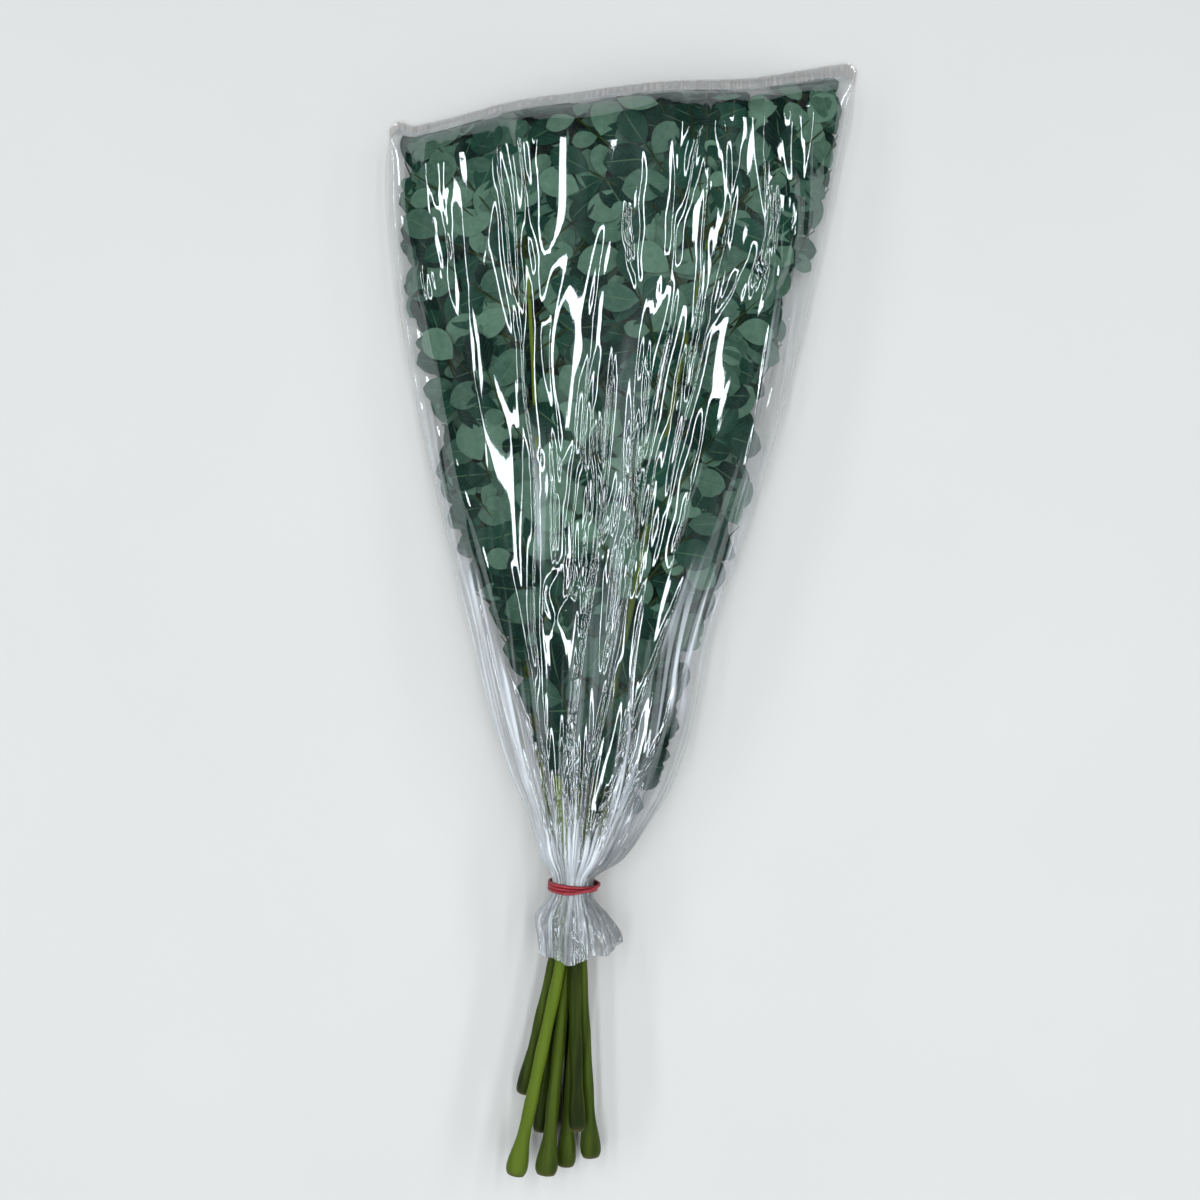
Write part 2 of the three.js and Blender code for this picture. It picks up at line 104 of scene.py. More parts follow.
def vary(seed: float) -> float:
    """Return a repeatable number from 0 to 1 for a seed."""
    value = math.sin(seed * 12.9898) * 43758.5453
    return value - math.floor(value)


def hill(value, middle: float, spread: float):
    """Return a smooth hill over a number or an array: 1 at its middle, and nearly 0 at two spreads from it."""
    return np.exp(-(((value - middle) / spread) ** 2))


class BagForm:
    """The bag's outer form, by place along it and by share q of its half width, from -1 to 1."""

    def __init__(self) -> None:
        """Work out each field's cubic between the cross-sections."""
        rows = np.array(BAG_SECTIONS, dtype=float)
        self.at = rows[:, 0]
        self.values = {name: rows[:, i] for i, name in enumerate(SECTION_FIELDS)}
        self.slopes = {name: self._tangents(rows[:, i]) for i, name in enumerate(SECTION_FIELDS)}

    def _tangents(self, values: np.ndarray) -> np.ndarray:
        """Return a field's tangent at each cross-section, which keeps the cubic from overshooting."""
        slope = np.diff(values) / np.diff(self.at)
        tangent = np.zeros(len(values))
        for j in range(1, len(values) - 1):
            before, after = slope[j - 1], slope[j]
            tangent[j] = 0.0 if before * after <= 0 else 2 * before * after / (before + after)
        return tangent

    def section(self, name: str, place):
        """Return a field of the cross-sections at a place, or at an array of them."""
        at = np.clip(place, self.at[0], self.at[-1])
        i = np.maximum(np.searchsorted(self.at, at, side="left") - 1, 0)
        span = self.at[i + 1] - self.at[i]
        t = (at - self.at[i]) / span
        values, slopes = self.values[name], self.slopes[name]
        between = mix(values[i], values[i + 1], t * t * (3 - 2 * t))
        return between + span * (slopes[i] * t * (1 - t) ** 2 - slopes[i + 1] * t * t * (1 - t))

    def bulge(self, q, place):
        """Return how far the film bulges, from 1 in the middle to 0 at the edges."""
        return (1 - np.minimum(1, np.abs(q)) ** CROWN_POWER) ** self.section("crown", place)

    def crown(self, q, place):
        """Return the height of the bag's top without its folds."""
        edge = self.section("edge", place)
        return edge + (self.section("top", place) - edge) * self.bulge(q, place)

    def under(self, q, place):
        """Return the height of the bag's underside."""
        flat = np.minimum(1, self.section("flat", place) * self.bulge(q, place))
        return mix(self.section("edge", place), self.section("floor", place), flat)

    def plan(self, q, place) -> tuple:
        """Return where a share q of the half width is in plan."""
        half = np.where(np.asarray(q) < 0, self.section("left", place), self.section("right", place))
        bow = self.section("bow", place) * (1 - q * q)
        return q * half, NECK_Y + place + self.section("skew", place) * q + bow

    def settle(self, q, place):
        """Return how far the sealed end lies back towards the band, in its soft dips and at its corners."""
        dips = sum(depth * hill(q, middle, spread) for depth, middle, spread in SEAL_DIPS)
        corner, start = RIGHT_CORNER
        return (dips + corner * ease(q, start, 1)) * ease(place, SETTLED_FROM, SEAL_AT)

    def locate(self, x, y) -> tuple:
        """Return the share q and the place along the bag of a point in plan."""
        place, q = np.asarray(y, dtype=float) - NECK_Y, 0.0
        for _ in range(4):
            half = np.where(np.asarray(x) < 0, self.section("left", place), self.section("right", place))
            q = np.clip(x / half, -1, 1)
            place = y - NECK_Y - self.section("skew", place) * q - self.section("bow", place) * (1 - q * q)
        return q, place


@dataclass
class LeafLayers:
    """The heights inside the bag that the fronds lie at, one layer over another."""

    form: BagForm
    count: int = 7
    clearance: float = 0.9
    least_pitch: float = 1.5
    wave_length: float = 14.0
    wave_share: float = 0.25

    def at(self, layer: float, x, y) -> tuple:
        """Return the height of a layer over points in plan, and the room between layers there."""
        q, place = self.form.locate(x, y)
        crown = self.form.crown(q, place) - 1.2 * self.form.section("pleat", place)
        low = self.form.under(q, place) + FILM + self.clearance
        high = np.maximum(low, crown - FILM - self.clearance)
        pitch = (high - low) / self.count
        wave = np.sin(x / self.wave_length + 1.3 * layer) * np.cos(y / self.wave_length + 0.7 * layer)
        lift = self.wave_share * np.maximum(0, pitch - self.least_pitch) * wave
        return low + pitch * (layer + 0.5) + lift, pitch


class Path:
    """A smooth path through points: a centripetal spline, with places by share of its length."""

    def __init__(self, points: list, samples: int = 200) -> None:
        """Keep the points and measure the path.

        Args:
            points: The points that it passes through, in millimetres.
            samples: How many stretches its length is measured in.
        """
        self.points = np.array(points, dtype=float)
        self.shares = np.linspace(0, 1, samples + 1)
        run = np.array([self.point(t) for t in self.shares])
        self.lengths = np.concatenate([[0.0], np.cumsum(np.linalg.norm(np.diff(run, axis=0), axis=1))])

    @property
    def length(self) -> float:
        """Return the path's length."""
        return float(self.lengths[-1])

    def point(self, share: float) -> np.ndarray:
        """Return the point at a share of the path's parameter."""
        p = self.points
        spot = (len(p) - 1) * share
        i = min(int(math.floor(spot)), len(p) - 2)
        t = spot - i
        before = p[i - 1] if i > 0 else 2 * p[0] - p[1]
        after = p[i + 2] if i + 2 < len(p) else 2 * p[-1] - p[-2]
        knots = (before, p[i], p[i + 1], after)
        gaps = [float(np.sum((b - a) ** 2)) ** 0.25 for a, b in zip(knots, knots[1:])]
        x0, x1, x2, x3 = knots
        d0, d1, d2 = gaps
        m1 = ((x1 - x0) / d0 - (x2 - x0) / (d0 + d1) + (x2 - x1) / d1) * d1
        m2 = ((x2 - x1) / d1 - (x3 - x1) / (d1 + d2) + (x3 - x2) / d2) * d1
        c2 = -3 * x1 + 3 * x2 - 2 * m1 - m2
        c3 = 2 * x1 - 2 * x2 + m1 + m2
        return x1 + m1 * t + c2 * t * t + c3 * t ** 3

    def at_length(self, share: float) -> np.ndarray:
        """Return the point at a share of the path's length."""
        return self.point(float(np.interp(share * self.length, self.lengths, self.shares)))


class Rachis:
    """A frond's path in plan, as even steps from its cut end to its tip."""

    def __init__(self, path: Path, steps: int = 120) -> None:
        """Take the points from a path.

        Args:
            path: The frond's path.
            steps: How many steps it is divided in.
        """
        self.points = np.array([path.point(i / steps)[:2] for i in range(steps + 1)])
        self.end = steps

    def index(self, place: float) -> int:
        """Return the index of the first point that is past a place along the bunch."""
        return int(np.argmax(self.points[:, 1] - NECK_Y >= place))

    def turn(self, i: int) -> float:
        """Return the direction at a point, turned from +Y."""
        step = self.points[i] - self.points[i - 1]
        return math.atan2(-step[0], step[1])

    def outlines(self, start: float, half_width: float, stride: int = 3) -> list:
        """Return boxes in plan that cover it.

        Args:
            start: The place along the bunch that they start from.
            half_width: Half their width.
            stride: How many steps each covers.
        """
        found = []
        for i in range(self.index(start), self.end - stride + 1, stride):
            low, high = self.points[i], self.points[i + stride]
            step = high - low
            across = np.array([-step[1], step[0]]) * half_width / np.linalg.norm(step)
            found.append(np.array([low - across, high - across, high + across, low + across]))
        return found


@dataclass(frozen=True)
class FrondPlan:
    """Where one frond goes.

    Attributes:
        node: The CAD node that it stands for.
        slot: Its slot in the neck, in columns and rows from the middle.
        tip: How far across and along the bunch its rachis ends.
        sweep: How late along its length it leaves the middle.
        foot: How far across, along and up its cut end is.
        bulb: The radius of its swollen base.
        tone: How light its stalk is, from 0 to 1.
    """

    node: str
    slot: tuple
    tip: tuple
    sweep: float
    foot: tuple
    bulb: float
    tone: float


FROND_PLANS = (
    FrondPlan("frond_under_left", (-0.5, -1), (-50, 338), 1.1, (-8.8, -137, 5.8), 5.2, 0.25),
    FrondPlan("frond_under_right", (0.5, -1), (38, 348), 1.1, (6, -155, 6.2), 5.6, 0.55),
    FrondPlan("frond_middle_left", (-1, 0), (-82, 324), 1.05, (-19.5, -116, 8.2), 5, 0.35),
    FrondPlan("frond_middle_centre", (0, 0), (-6, 350), 1.2, (-4.5, -157, 16), 6.2, 0.5),
    FrondPlan("frond_middle_right", (1, 0), (88, 352), 1.05, (19.5, -148, 9.5), 5.8, 0.4),
    FrondPlan("frond_top_left", (-0.5, 1), (-46, 341), 0.95, (-20.9, -157.5, 18), 6, 1.0),
    FrondPlan("frond_top_right", (0.5, 1), (50, 356), 1.15, (11, -131, 20), 4.8, 0.15),
)


@dataclass
class Leaflet:
    """One leaflet: its foot in plan, the way it points, its size and the height of its layer."""

    foot: np.ndarray
    angle: float
    length: float
    width: float
    layer: float
    seed: float


@dataclass
class Rib:
    """A pinna's rib in plan, from the rachis to its last leaflet."""

    points: list
    layer: float


@dataclass(frozen=True)
class Shoot:
    """A pinna that is still to be laid out.

    Attributes:
        root: Its root in plan.
        bend: How far it turns along its length.
        seed: The seed of its small differences.
        layer: The layer that it lies in.
        filling: Whether it is one of the finer pinnae that lie between the solid's.
        spare: How much longer it is than the others.
        lean: The way it leaves the root, turned from +Y.
    """

    root: np.ndarray
    bend: float
    seed: float
    layer: float
    filling: bool = False
    spare: float = 0.0
    lean: float = 0.0

    def rib_point(self, share: float, reach: float, across: float = 0.0) -> np.ndarray:
        """Return a point of its rib.

        Args:
            share: The share of its reach that the point is at.
            reach: How long it is.
            across: How far beside the rib the point is.
        """
        middle = moved(self.root, self.lean + self.bend * share / 2, 0, share * reach)
        return moved(middle, self.lean + self.bend * share, across, 0)


@dataclass
class Frond:
    """One frond: its path, its pinnae and their leaflets, as on the solid, with finer pinnae between them."""

    plan: FrondPlan
    layer: int
    layers: LeafLayers
    slot_pitch: float = 7.0
    slot_places: tuple = (MOUTH_AT, -18.0, -4.0, 10.0)
    path_places: int = 16
    stem_radius: float = 3.5
    neck_radius: float = 3.1
    leafy_radius: float = 2.1
    tip_radius: float = 0.9
    bulb_length: float = 15.0
    leaflet_length: float = 21.0
    leaflet_width: float = 15.0
    leaflet_lean: float = math.radians(60)
    leaflet_pitch: float = 17.0
    leaflet_gap: float = 0.5
    leaflet_scale: tuple = (0.9, 1.1)
    end_leaflet_scale: float = 1.1
    pairs: int = 3
    rib_half_width: float = 0.9
    petiole: float = 11.0
    pinna_leans: tuple = (60.0, 46.0, 32.0)
    pinna_bend: float = math.radians(-16)
    pinna_pitch: float = 50.0
    leafy_start: float = 80.0
    leafy_end: float = 421.0
    leafy_side: float = 0.93
    leafy_side_low: float = 0.55
    fill_start: float = 36.0
    fill_step: float = 14.0
    fill_side: float = 0.975
    fill_side_low: tuple = (0.6, 0.88)
    fill_scale: tuple = (0.52, 1.26)
    fill_end: float = 425.0
    bare_side: tuple = (262.0, 26.0, 0.12)
    fill_leans: tuple = (24.0, 80.0)
    fill_rise: float = 0.36
    fan: range = range(-7, 8)
    fan_step: float = math.radians(11.5)
    fan_spare: tuple = (8.0, 66.0)
    fan_rise: float = 0.3
    outline: tuple = ((0, 0), (0.3, -0.44), (0.78, -0.46), (1, 0), (0.78, 0.46), (0.3, 0.44))
    leaflets: list = field(default_factory=list)
    ribs: list = field(default_factory=list)

    def __post_init__(self) -> None:
        """Lay out the path, then the pinnae of the solid, then the finer ones between them."""
        self.path = self._stem_path()
        self.rachis = Rachis(self.path)
        self.taken = self.rachis.outlines(self.leafy_start, self.leafy_radius)
        self._branch()
        self._fill()
        self._fan()

    def _stem_path(self) -> Path:
        """Return the path from the cut end, through the slot in the neck, to the tip of the rachis."""
        slot_x = self.plan.slot[0] * self.slot_pitch
        slot_z = NECK_HEIGHT + self.plan.slot[1] * self.slot_pitch * math.sin(math.pi / 3)
        foot_x, foot_at, foot_z = self.plan.foot
        points = [
            (foot_x, NECK_Y + foot_at, foot_z),
            (mix(slot_x, foot_x, 0.5), NECK_Y + mix(MOUTH_AT, foot_at, 0.52), mix(slot_z, foot_z, 0.5)),
        ]
        points += [(slot_x, NECK_Y + place, slot_z) for place in self.slot_places]
        tip_x, tip_at = self.plan.tip
        for i in range(2, self.path_places + 1):
            share = i / self.path_places
            x, y = mix(slot_x, tip_x, share ** self.plan.sweep), NECK_Y + tip_at * share
            z = mix(slot_z, float(self.layers.at(self.layer, x, y)[0]), float(ease(tip_at * share, 10, 120)))
            points.append((x, y, z))
        return Path(points)

    def radius(self, distance: float, place: float) -> float:
        """Return the stem's radius at a distance from its cut end and a place along the bunch."""
        if place < 0:
            shaft = mix(self.stem_radius, self.neck_radius, float(ease(distance, 0, 140)))
        elif place < self.leafy_start:
            shaft = mix(self.neck_radius, self.leafy_radius, place / self.leafy_start)
        else:
            share = (place - self.leafy_start) / (self.plan.tip[1] - self.leafy_start)
            shaft = mix(self.leafy_radius, self.tip_radius, share)
        swelling = (self.plan.bulb - self.stem_radius) * float(hill(distance, 0, self.bulb_length))
        return (shaft + swelling) * (1 - 0.16 * math.exp(-distance / 1.5))

    def _has_room(self, outline: np.ndarray, shoot: Shoot) -> bool:
        """Tell whether an outline is where leaves are: inside the bag and clear of the film's bare parts.

        Args:
            outline: A leaflet's outline in plan.
            shoot: The leaflet's pinna. The finer ones may be pressed to the film.
        """
        x, y = outline[:, 0], outline[:, 1]
        q, place = self.layers.form.locate(x, y)
        widest, end = (self.fill_side, self.fill_end) if shoot.filling else (self.leafy_side, self.leafy_end)
        least = mix(*self.fill_side_low, q > 0) if shoot.filling else self.leafy_side_low
        side = mix(least, widest, ease(place, self.leafy_start - 10, self.leafy_start + 100))
        if shoot.filling:
            middle, spread, depth = self.bare_side
            side = side - depth * hill(place, middle, spread) * (q > 0)
            return bool(np.mean(place) < end and np.all(np.abs(q) < side))
        pitch = self.layers.at(shoot.layer, x, y)[1]
        return bool(np.all((place < end) & (np.abs(q) < side) & (pitch > self.layers.least_pitch)))

    def _pinna(self, shoot: Shoot) -> tuple:
        """Lay out a pinna.

        Args:
            shoot: The pinna.

        Returns:
            Its leaflets, their outlines and its rib's points.
        """
        pairs = self.pairs + round(shoot.spare / self.leaflet_pitch)
        reach = self.petiole + self.leaflet_pitch * (pairs - 0.4)
        scales = self.fill_scale if shoot.filling else self.leaflet_scale
        spots = []
        for sign in (-1, 1):
            for i in range(pairs):
                s = self.petiole + self.leaflet_pitch * i + 3 * vary(shoot.seed + 5 * i + sign)
                spots.append((s, sign, mix(*scales, vary(shoot.seed + 11 * i + 2 * sign))))
        spots.append((reach, 0, self.end_leaflet_scale))
        found, outlines, last = [], [], 0.0
        for s, sign, scale in spots:
            spread = self.leaflet_lean * (0.92 + 0.16 * vary(shoot.seed + s + 3 * sign))
            angle = shoot.lean + shoot.bend * s / reach + sign * spread
            foot = shoot.rib_point(s / reach, reach, sign * self.rib_half_width)
            length, width = self.leaflet_length * scale, self.leaflet_width * scale
            outline = np.array([moved(foot, angle, b * width, a * length) for a, b in self.outline])
            if not self._is_clear(outline, outlines, shoot) or not self._has_room(outline, shoot):
                continue
            outlines.append(outline)
            found.append(Leaflet(foot, angle, length, width, shoot.layer, shoot.seed + 31 * s + 7 * sign))
            last = max(last, s)
        rib = [shoot.rib_point(share * last / reach, reach) for share in np.linspace(0, 1, 7)]
        return found, outlines, rib

    def _is_clear(self, outline: np.ndarray, others: list, shoot: Shoot) -> bool:
        """Tell whether an outline is clear of all that was grown before. The finer leaflets needn't be."""
        return shoot.filling or all(apart(outline, other, self.leaflet_gap) for other in self.taken + others)

    def _grow(self, shoot: Shoot, leans: list) -> None:
        """Grow a pinna in the direction in which it carries most leaflets.

        Args:
            shoot: The pinna.
            leans: The directions that are tried.
        """
        tries = [self._pinna(replace(shoot, lean=lean)) for lean in leans]
        leaflets, outlines, rib = max(tries, key=lambda made: len(made[0]))
        if len(leaflets) < 2:
            return
        if not shoot.filling:
            self.taken.extend(outlines)
        self.leaflets.extend(leaflets)
        self.ribs.append(Rib(rib, shoot.layer))

    def _branch(self) -> None:
        """Grow the solid's pinnae, from the tip to the first leaves."""
        rachis, layer = self.rachis, self.layer
        self._grow(Shoot(rachis.points[rachis.end - 1], 0.0, layer, layer), [rachis.turn(rachis.end)])
        place = self.plan.tip[1] - 0.8 * self.pinna_pitch
        while place > self.leafy_start:
            i = rachis.index(place)
            for sign in (-1, 1):
                leans = [rachis.turn(i) + sign * math.radians(lean) for lean in self.pinna_leans]
                seed = 17 * layer + place + sign
                self._grow(Shoot(rachis.points[i], sign * self.pinna_bend, seed, layer), leans)
            place -= self.pinna_pitch

    def _fill(self) -> None:
        """Grow the finer pinnae that lie between the solid's, a little above or below them."""
        place = self.plan.tip[1] - 0.2 * self.fill_step
        while place > self.fill_start:
            i = self.rachis.index(place)
            for sign in (-1, 1):
                seed = 5.7 * self.layer + 1.3 * place + 2 * sign
                turns = [math.radians(mix(*self.fill_leans, vary(drawn))) for drawn in (seed, seed + 50)]
                layer = self.layer + self.fill_rise * (1 - 2 * vary(seed + 1))
                shoot = Shoot(self.rachis.points[i], sign * self.pinna_bend, seed, layer, True)
                self._grow(shoot, [self.rachis.turn(i) + sign * turn for turn in turns])
            place -= self.fill_step

    def _fan(self) -> None:
        """Grow finer pinnae in a fan from the tip."""
        for i in self.fan:
            seed = 3.1 * self.layer + i
            lean = self.rachis.turn(self.rachis.end) + self.fan_step * (i + 0.6 * (vary(seed) - 0.5))
            spare = mix(*self.fan_spare, vary(seed + 4))
            layer = self.layer + self.fan_rise * (1 - 2 * vary(seed + 2))
            bend = 0.15 * (vary(seed + 1) - 0.5)
            root = self.rachis.points[self.rachis.end - 2]
            self._grow(Shoot(root, bend, seed, layer, True, spare), [lean, 0.6 * lean])


def moved(point: np.ndarray, turn: float, across: float, along: float) -> np.ndarray:
    """Return a point of the plan moved by across and along in a frame that is turned from +Y."""
    c, s = math.cos(turn), math.sin(turn)
    return point + np.array([-across * c - along * s, -across * s + along * c])


def apart(a: np.ndarray, b: np.ndarray, gap: float) -> bool:
    """Tell whether two convex outlines are apart in plan, by at least a gap."""
    for outline in (a, b):
        step = np.roll(outline, -1, axis=0) - outline
        normals = np.stack([-step[:, 1], step[:, 0]], axis=1)
        normals /= np.linalg.norm(normals, axis=1)[:, None]
        first, second = a @ normals.T, b @ normals.T
        far = (first.max(0) + gap < second.min(0)) | (second.max(0) + gap < first.min(0))
        if far.any():
            return True
    return False


class Slot(Enum):
    """The record's material slots."""

    FILM = "clear_film"
    BAND = "red_rubber"
    FROND = "leaf_green"


class Nodes:
    """Adds and links the nodes of one material."""

    def __init__(self, name: str) -> None:
        """Make a material with a Principled BSDF and nothing else but its output."""
        self.material = bpy.data.materials.new(name)
        self.material.use_nodes = True
        self.tree = self.material.node_tree
        self.shader = self.tree.nodes["Principled BSDF"]

    def add(self, kind: str, inputs: dict | None = None, **settings) -> bpy.types.Node:
        """Add a node.

        Args:
            kind: The node's type name.
            inputs: Values or output sockets for its inputs, by name or number.
            settings: The node's own properties.

        Returns:
            The new node.
        """
        node = self.tree.nodes.new(kind)
        for name, value in settings.items():
            setattr(node, name, value)
        for key, value in (inputs or {}).items():
            self.set(node.inputs[key], value)
        return node

    def set(self, socket: bpy.types.NodeSocket, value) -> None:
        """Link an output to a socket, or give the socket a plain value."""
        if isinstance(value, bpy.types.NodeSocket):
            self.tree.links.new(value, socket)
        else:
            socket.default_value = value

    def math(self, operation: str, *values, clamp: bool = False) -> bpy.types.NodeSocket:
        """Add a Math node and return its value."""
        node = self.add("ShaderNodeMath", dict(enumerate(values)), operation=operation, use_clamp=clamp)
        return node.outputs[0]

    def blend(self, share, low, high) -> bpy.types.NodeSocket:
        """Mix two colours by a share and return the result."""
        node = self.add("ShaderNodeMix", data_type="RGBA")
        for socket, value in zip((node.inputs["Factor"], node.inputs[6], node.inputs[7]), (share, low, high)):
            self.set(socket, value)
        return node.outputs[2]

    def spread(self, value, low: float, high: float, to: tuple = (0.0, 1.0)) -> bpy.types.NodeSocket:
        """Spread a range of a value over another range, with soft ends."""
        inputs = {"Value": value, "From Min": low, "From Max": high, "To Min": to[0], "To Max": to[1]}
        return self.add("ShaderNodeMapRange", inputs, interpolation_type="SMOOTHSTEP").outputs["Result"]

    def attribute(self, name: str) -> bpy.types.NodeSocket:
        """Return a value that is kept on the mesh."""
        return self.add("ShaderNodeAttribute", attribute_name=name).outputs["Fac"]

    def noise(self, scale: float, stretch: tuple = (1, 1, 1), detail: float = 3.0) -> bpy.types.NodeSocket:
        """Return noise over the piece, stretched along its axes."""
        place = self.add("ShaderNodeTexCoord").outputs["Object"]
        turned = self.add("ShaderNodeMapping", {"Vector": place, "Scale": stretch}).outputs["Vector"]
        inputs = {"Vector": turned, "Scale": scale, "Detail": detail}
        return self.add("ShaderNodeTexNoise", inputs).outputs["Fac"]

    def bump(self, height, strength: float, distance: float = 0.0004, over=None) -> bpy.types.NodeSocket:
        """Return the normal that a height gives.

        Args:
            height: The height.
            strength: How strongly it shows.
            distance: How high 1 is, in metres.
            over: A normal that it is laid over.
        """
        inputs = {"Height": height, "Strength": strength, "Distance": distance}
        if over is not None:
            inputs["Normal"] = over
        return self.add("ShaderNodeBump", inputs).outputs["Normal"]

    def speckle(self, group: bpy.types.NodeTree, scale: float, strength: float) -> tuple:
        """Return the mask and the normal that the speckle group gives."""
        node = self.add("ShaderNodeGroup", {"Scale": scale, "Strength": strength}, node_tree=group)
        return node.outputs["Mask"], node.outputs["Normal"]

    def finish(self, **values) -> bpy.types.Material:
        """Set the shader's inputs, by their names with _ for spaces, and return the material."""
        for name, value in values.items():
            self.set(self.shader.inputs[name.replace("_", " ")], value)
        return self.material


def speckle_group() -> bpy.types.NodeTree:
    """Make the node group of fine natural speckle, which leaves and stalks share.

    Returns:
        A group with inputs Scale and Strength, and outputs Mask and Normal.
    """
    group = bpy.data.node_groups.new("living_speckle", "ShaderNodeTree")
    face = group.interface
    face.new_socket("Scale", in_out="INPUT", socket_type="NodeSocketFloat").default_value = 400.0
    face.new_socket("Strength", in_out="INPUT", socket_type="NodeSocketFloat").default_value = 0.2
    face.new_socket("Mask", in_out="OUTPUT", socket_type="NodeSocketFloat")
    face.new_socket("Normal", in_out="OUTPUT", socket_type="NodeSocketVector")
    add, link = group.nodes.new, group.links.new
    given, out = add("NodeGroupInput"), add("NodeGroupOutput")
    place, speckle, bump = add("ShaderNodeTexCoord"), add("ShaderNodeTexNoise"), add("ShaderNodeBump")
    speckle.inputs["Detail"].default_value = 4.0
    bump.inputs["Distance"].default_value = 0.0004
    link(place.outputs["Object"], speckle.inputs["Vector"])
    link(given.outputs["Scale"], speckle.inputs["Scale"])
    link(given.outputs["Strength"], bump.inputs["Strength"])
    link(speckle.outputs["Fac"], bump.inputs["Height"])
    link(speckle.outputs["Fac"], out.inputs["Mask"])
    link(bump.outputs["Normal"], out.inputs["Normal"])
    return group


@dataclass(frozen=True)
class LeafFinish:
    """Matt leaflets: blue-green above and greyer below, with a pale midrib and side veins; the darker ends of
    both carry random tone and the painted shade of deep leaflets.
    """

    # The first colour is partly the leaflets' own darker tone and partly painted shade on leaflets deep in the
    # bunch.
    dark_and_shaded: tuple = (0.001, 0.011, 0.008, 1)
    green: tuple = (0.012, 0.052, 0.034, 1)
    shaded_under: tuple = (0.040, 0.090, 0.064, 1)
    underside: tuple = (0.112, 0.200, 0.144, 1)
    vein: tuple = (0.095, 0.170, 0.095, 1)
    roughness: float = 0.62

    def build(self, speckle: bpy.types.NodeTree) -> bpy.types.Material:
        """Return the leaflets' material."""
        nodes = Nodes("moringa_leaflet")
        mask, speckled = nodes.speckle(speckle, 260.0, 0.25)
        uv = nodes.add("ShaderNodeSeparateXYZ", {0: nodes.add("ShaderNodeUVMap", uv_map="leaflet").outputs[0]})
        along, across = uv.outputs["X"], nodes.math("ABSOLUTE", nodes.math("SUBTRACT", uv.outputs["Y"], 0.5))
        midrib = nodes.spread(across, 0.038, 0.008)
        slant = nodes.math("SUBTRACT", along, nodes.math("MULTIPLY", across, 0.75))
        wave = nodes.math("ABSOLUTE", nodes.math("SINE", nodes.math("MULTIPLY", slant, 22.0)))
        veins = nodes.math("MAXIMUM", midrib, nodes.math("MULTIPLY", nodes.spread(wave, 0.22, 0.02), 0.45))
        # The tone attribute holds random tone times the painted shade of deeper leaflets.
        tone = nodes.math("ADD", nodes.attribute("tone"), nodes.math("SUBTRACT", mask, 0.5), clamp=True)
        above = nodes.blend(tone, self.dark_and_shaded, self.green)
        below = nodes.blend(tone, self.shaded_under, self.underside)
        face = nodes.blend(nodes.attribute("pale"), above, below)
        ribbed = nodes.blend(nodes.math("MULTIPLY", veins, 0.45), face, self.vein)
        normal = nodes.bump(nodes.math("SUBTRACT", 1.0, veins), 0.5, over=speckled)
        return nodes.finish(Base_Color=ribbed, Roughness=self.roughness, Specular_IOR_Level=0.0, Normal=normal)


@dataclass(frozen=True)
class StalkFinish:
    """Smooth stalks, from olive to bright yellow-green, with fine lengthwise lines and a browner cut end."""

    olive: tuple = (0.008, 0.016, 0.0005, 1)
    bright: tuple = (0.085, 0.130, 0.010, 1)
    cut: tuple = (0.08, 0.075, 0.03, 1)
    roughness: float = 0.42

    def build(self, speckle: bpy.types.NodeTree) -> bpy.types.Material:
        """Return the stalks' material."""
        nodes = Nodes("moringa_stalk")
        speckled = nodes.speckle(speckle, 300.0, 0.2)[1]
        lines = nodes.noise(220.0, (1, 0.06, 1))
        lined = nodes.math("MULTIPLY", nodes.math("SUBTRACT", lines, 0.5), 0.9)
        tone = nodes.math("ADD", nodes.attribute("tone"), lined, clamp=True)
        colour = nodes.blend(nodes.attribute("pale"), nodes.blend(tone, self.olive, self.bright), self.cut)
        normal = nodes.bump(lines, 0.35, over=speckled)
        return nodes.finish(Base_Color=colour, Roughness=self.roughness, Specular_IOR_Level=0.08, Normal=normal)


@dataclass(frozen=True)
class FilmFinish:
    """Clear glossy film: a faint mirror where it is single, and milky where it lies in folds, with painted
    shade in dark grey towards the band and a warm grey at the seal and bare sides that is partly painted
    shadow.
    """

    mirror: tuple = (0.93, 0.97, 1.0, 1)
    milk: tuple = (0.62, 0.66, 0.72, 1)
    # seal is a warm grey, partly the seal's own layered film and partly painted shadow seen through the film.
    seal: tuple = (0.36, 0.335, 0.315, 1)
    # shade is a dark grey of painted shade, for film that lies in shadow towards the band.
    shade: tuple = (0.045, 0.052, 0.058, 1)
    gloss_share: float = 0.1
    roughness: float = 0.045

    def build(self) -> bpy.types.Material:
        """Return the film's material."""
        nodes = Nodes("clear_film")
        fine = nodes.noise(150.0, (1, 0.3, 1), 2.0)
        streaks = nodes.noise(110.0, (1, 0.09, 1), 4.0)
        normal = nodes.bump(nodes.math("ADD", fine, nodes.math("MULTIPLY", streaks, 1.2)), 0.01, 0.0012)
        facing = nodes.add("ShaderNodeLayerWeight", {"Blend": 0.5}).outputs["Facing"]
        rim = nodes.math("MULTIPLY", nodes.math("POWER", facing, 3.0), 0.25)
        gloss = nodes.math("ADD", rim, self.gloss_share)
        milky = nodes.math("MULTIPLY", nodes.attribute("haze"), nodes.spread(streaks, 0.32, 0.68, (0.55, 1.35)))
        alpha = nodes.math("ADD", milky, gloss, clamp=True)
        metallic = nodes.math("DIVIDE", gloss, nodes.math("ADD", milky, gloss), clamp=True)
        # The warm grey at the seal and bare sides is partly painted shadow.
        warmed = nodes.blend(nodes.attribute("seal_and_shadow_grey"), self.milk, self.seal)
        # The shade attribute blends in painted shade as dark grey.
        milk = nodes.blend(nodes.attribute("shade"), warmed, self.shade)
        colour = nodes.blend(metallic, milk, self.mirror)
        return nodes.finish(
            Base_Color=colour, Metallic=metallic, Roughness=self.roughness, Alpha=alpha, Normal=normal,
        )


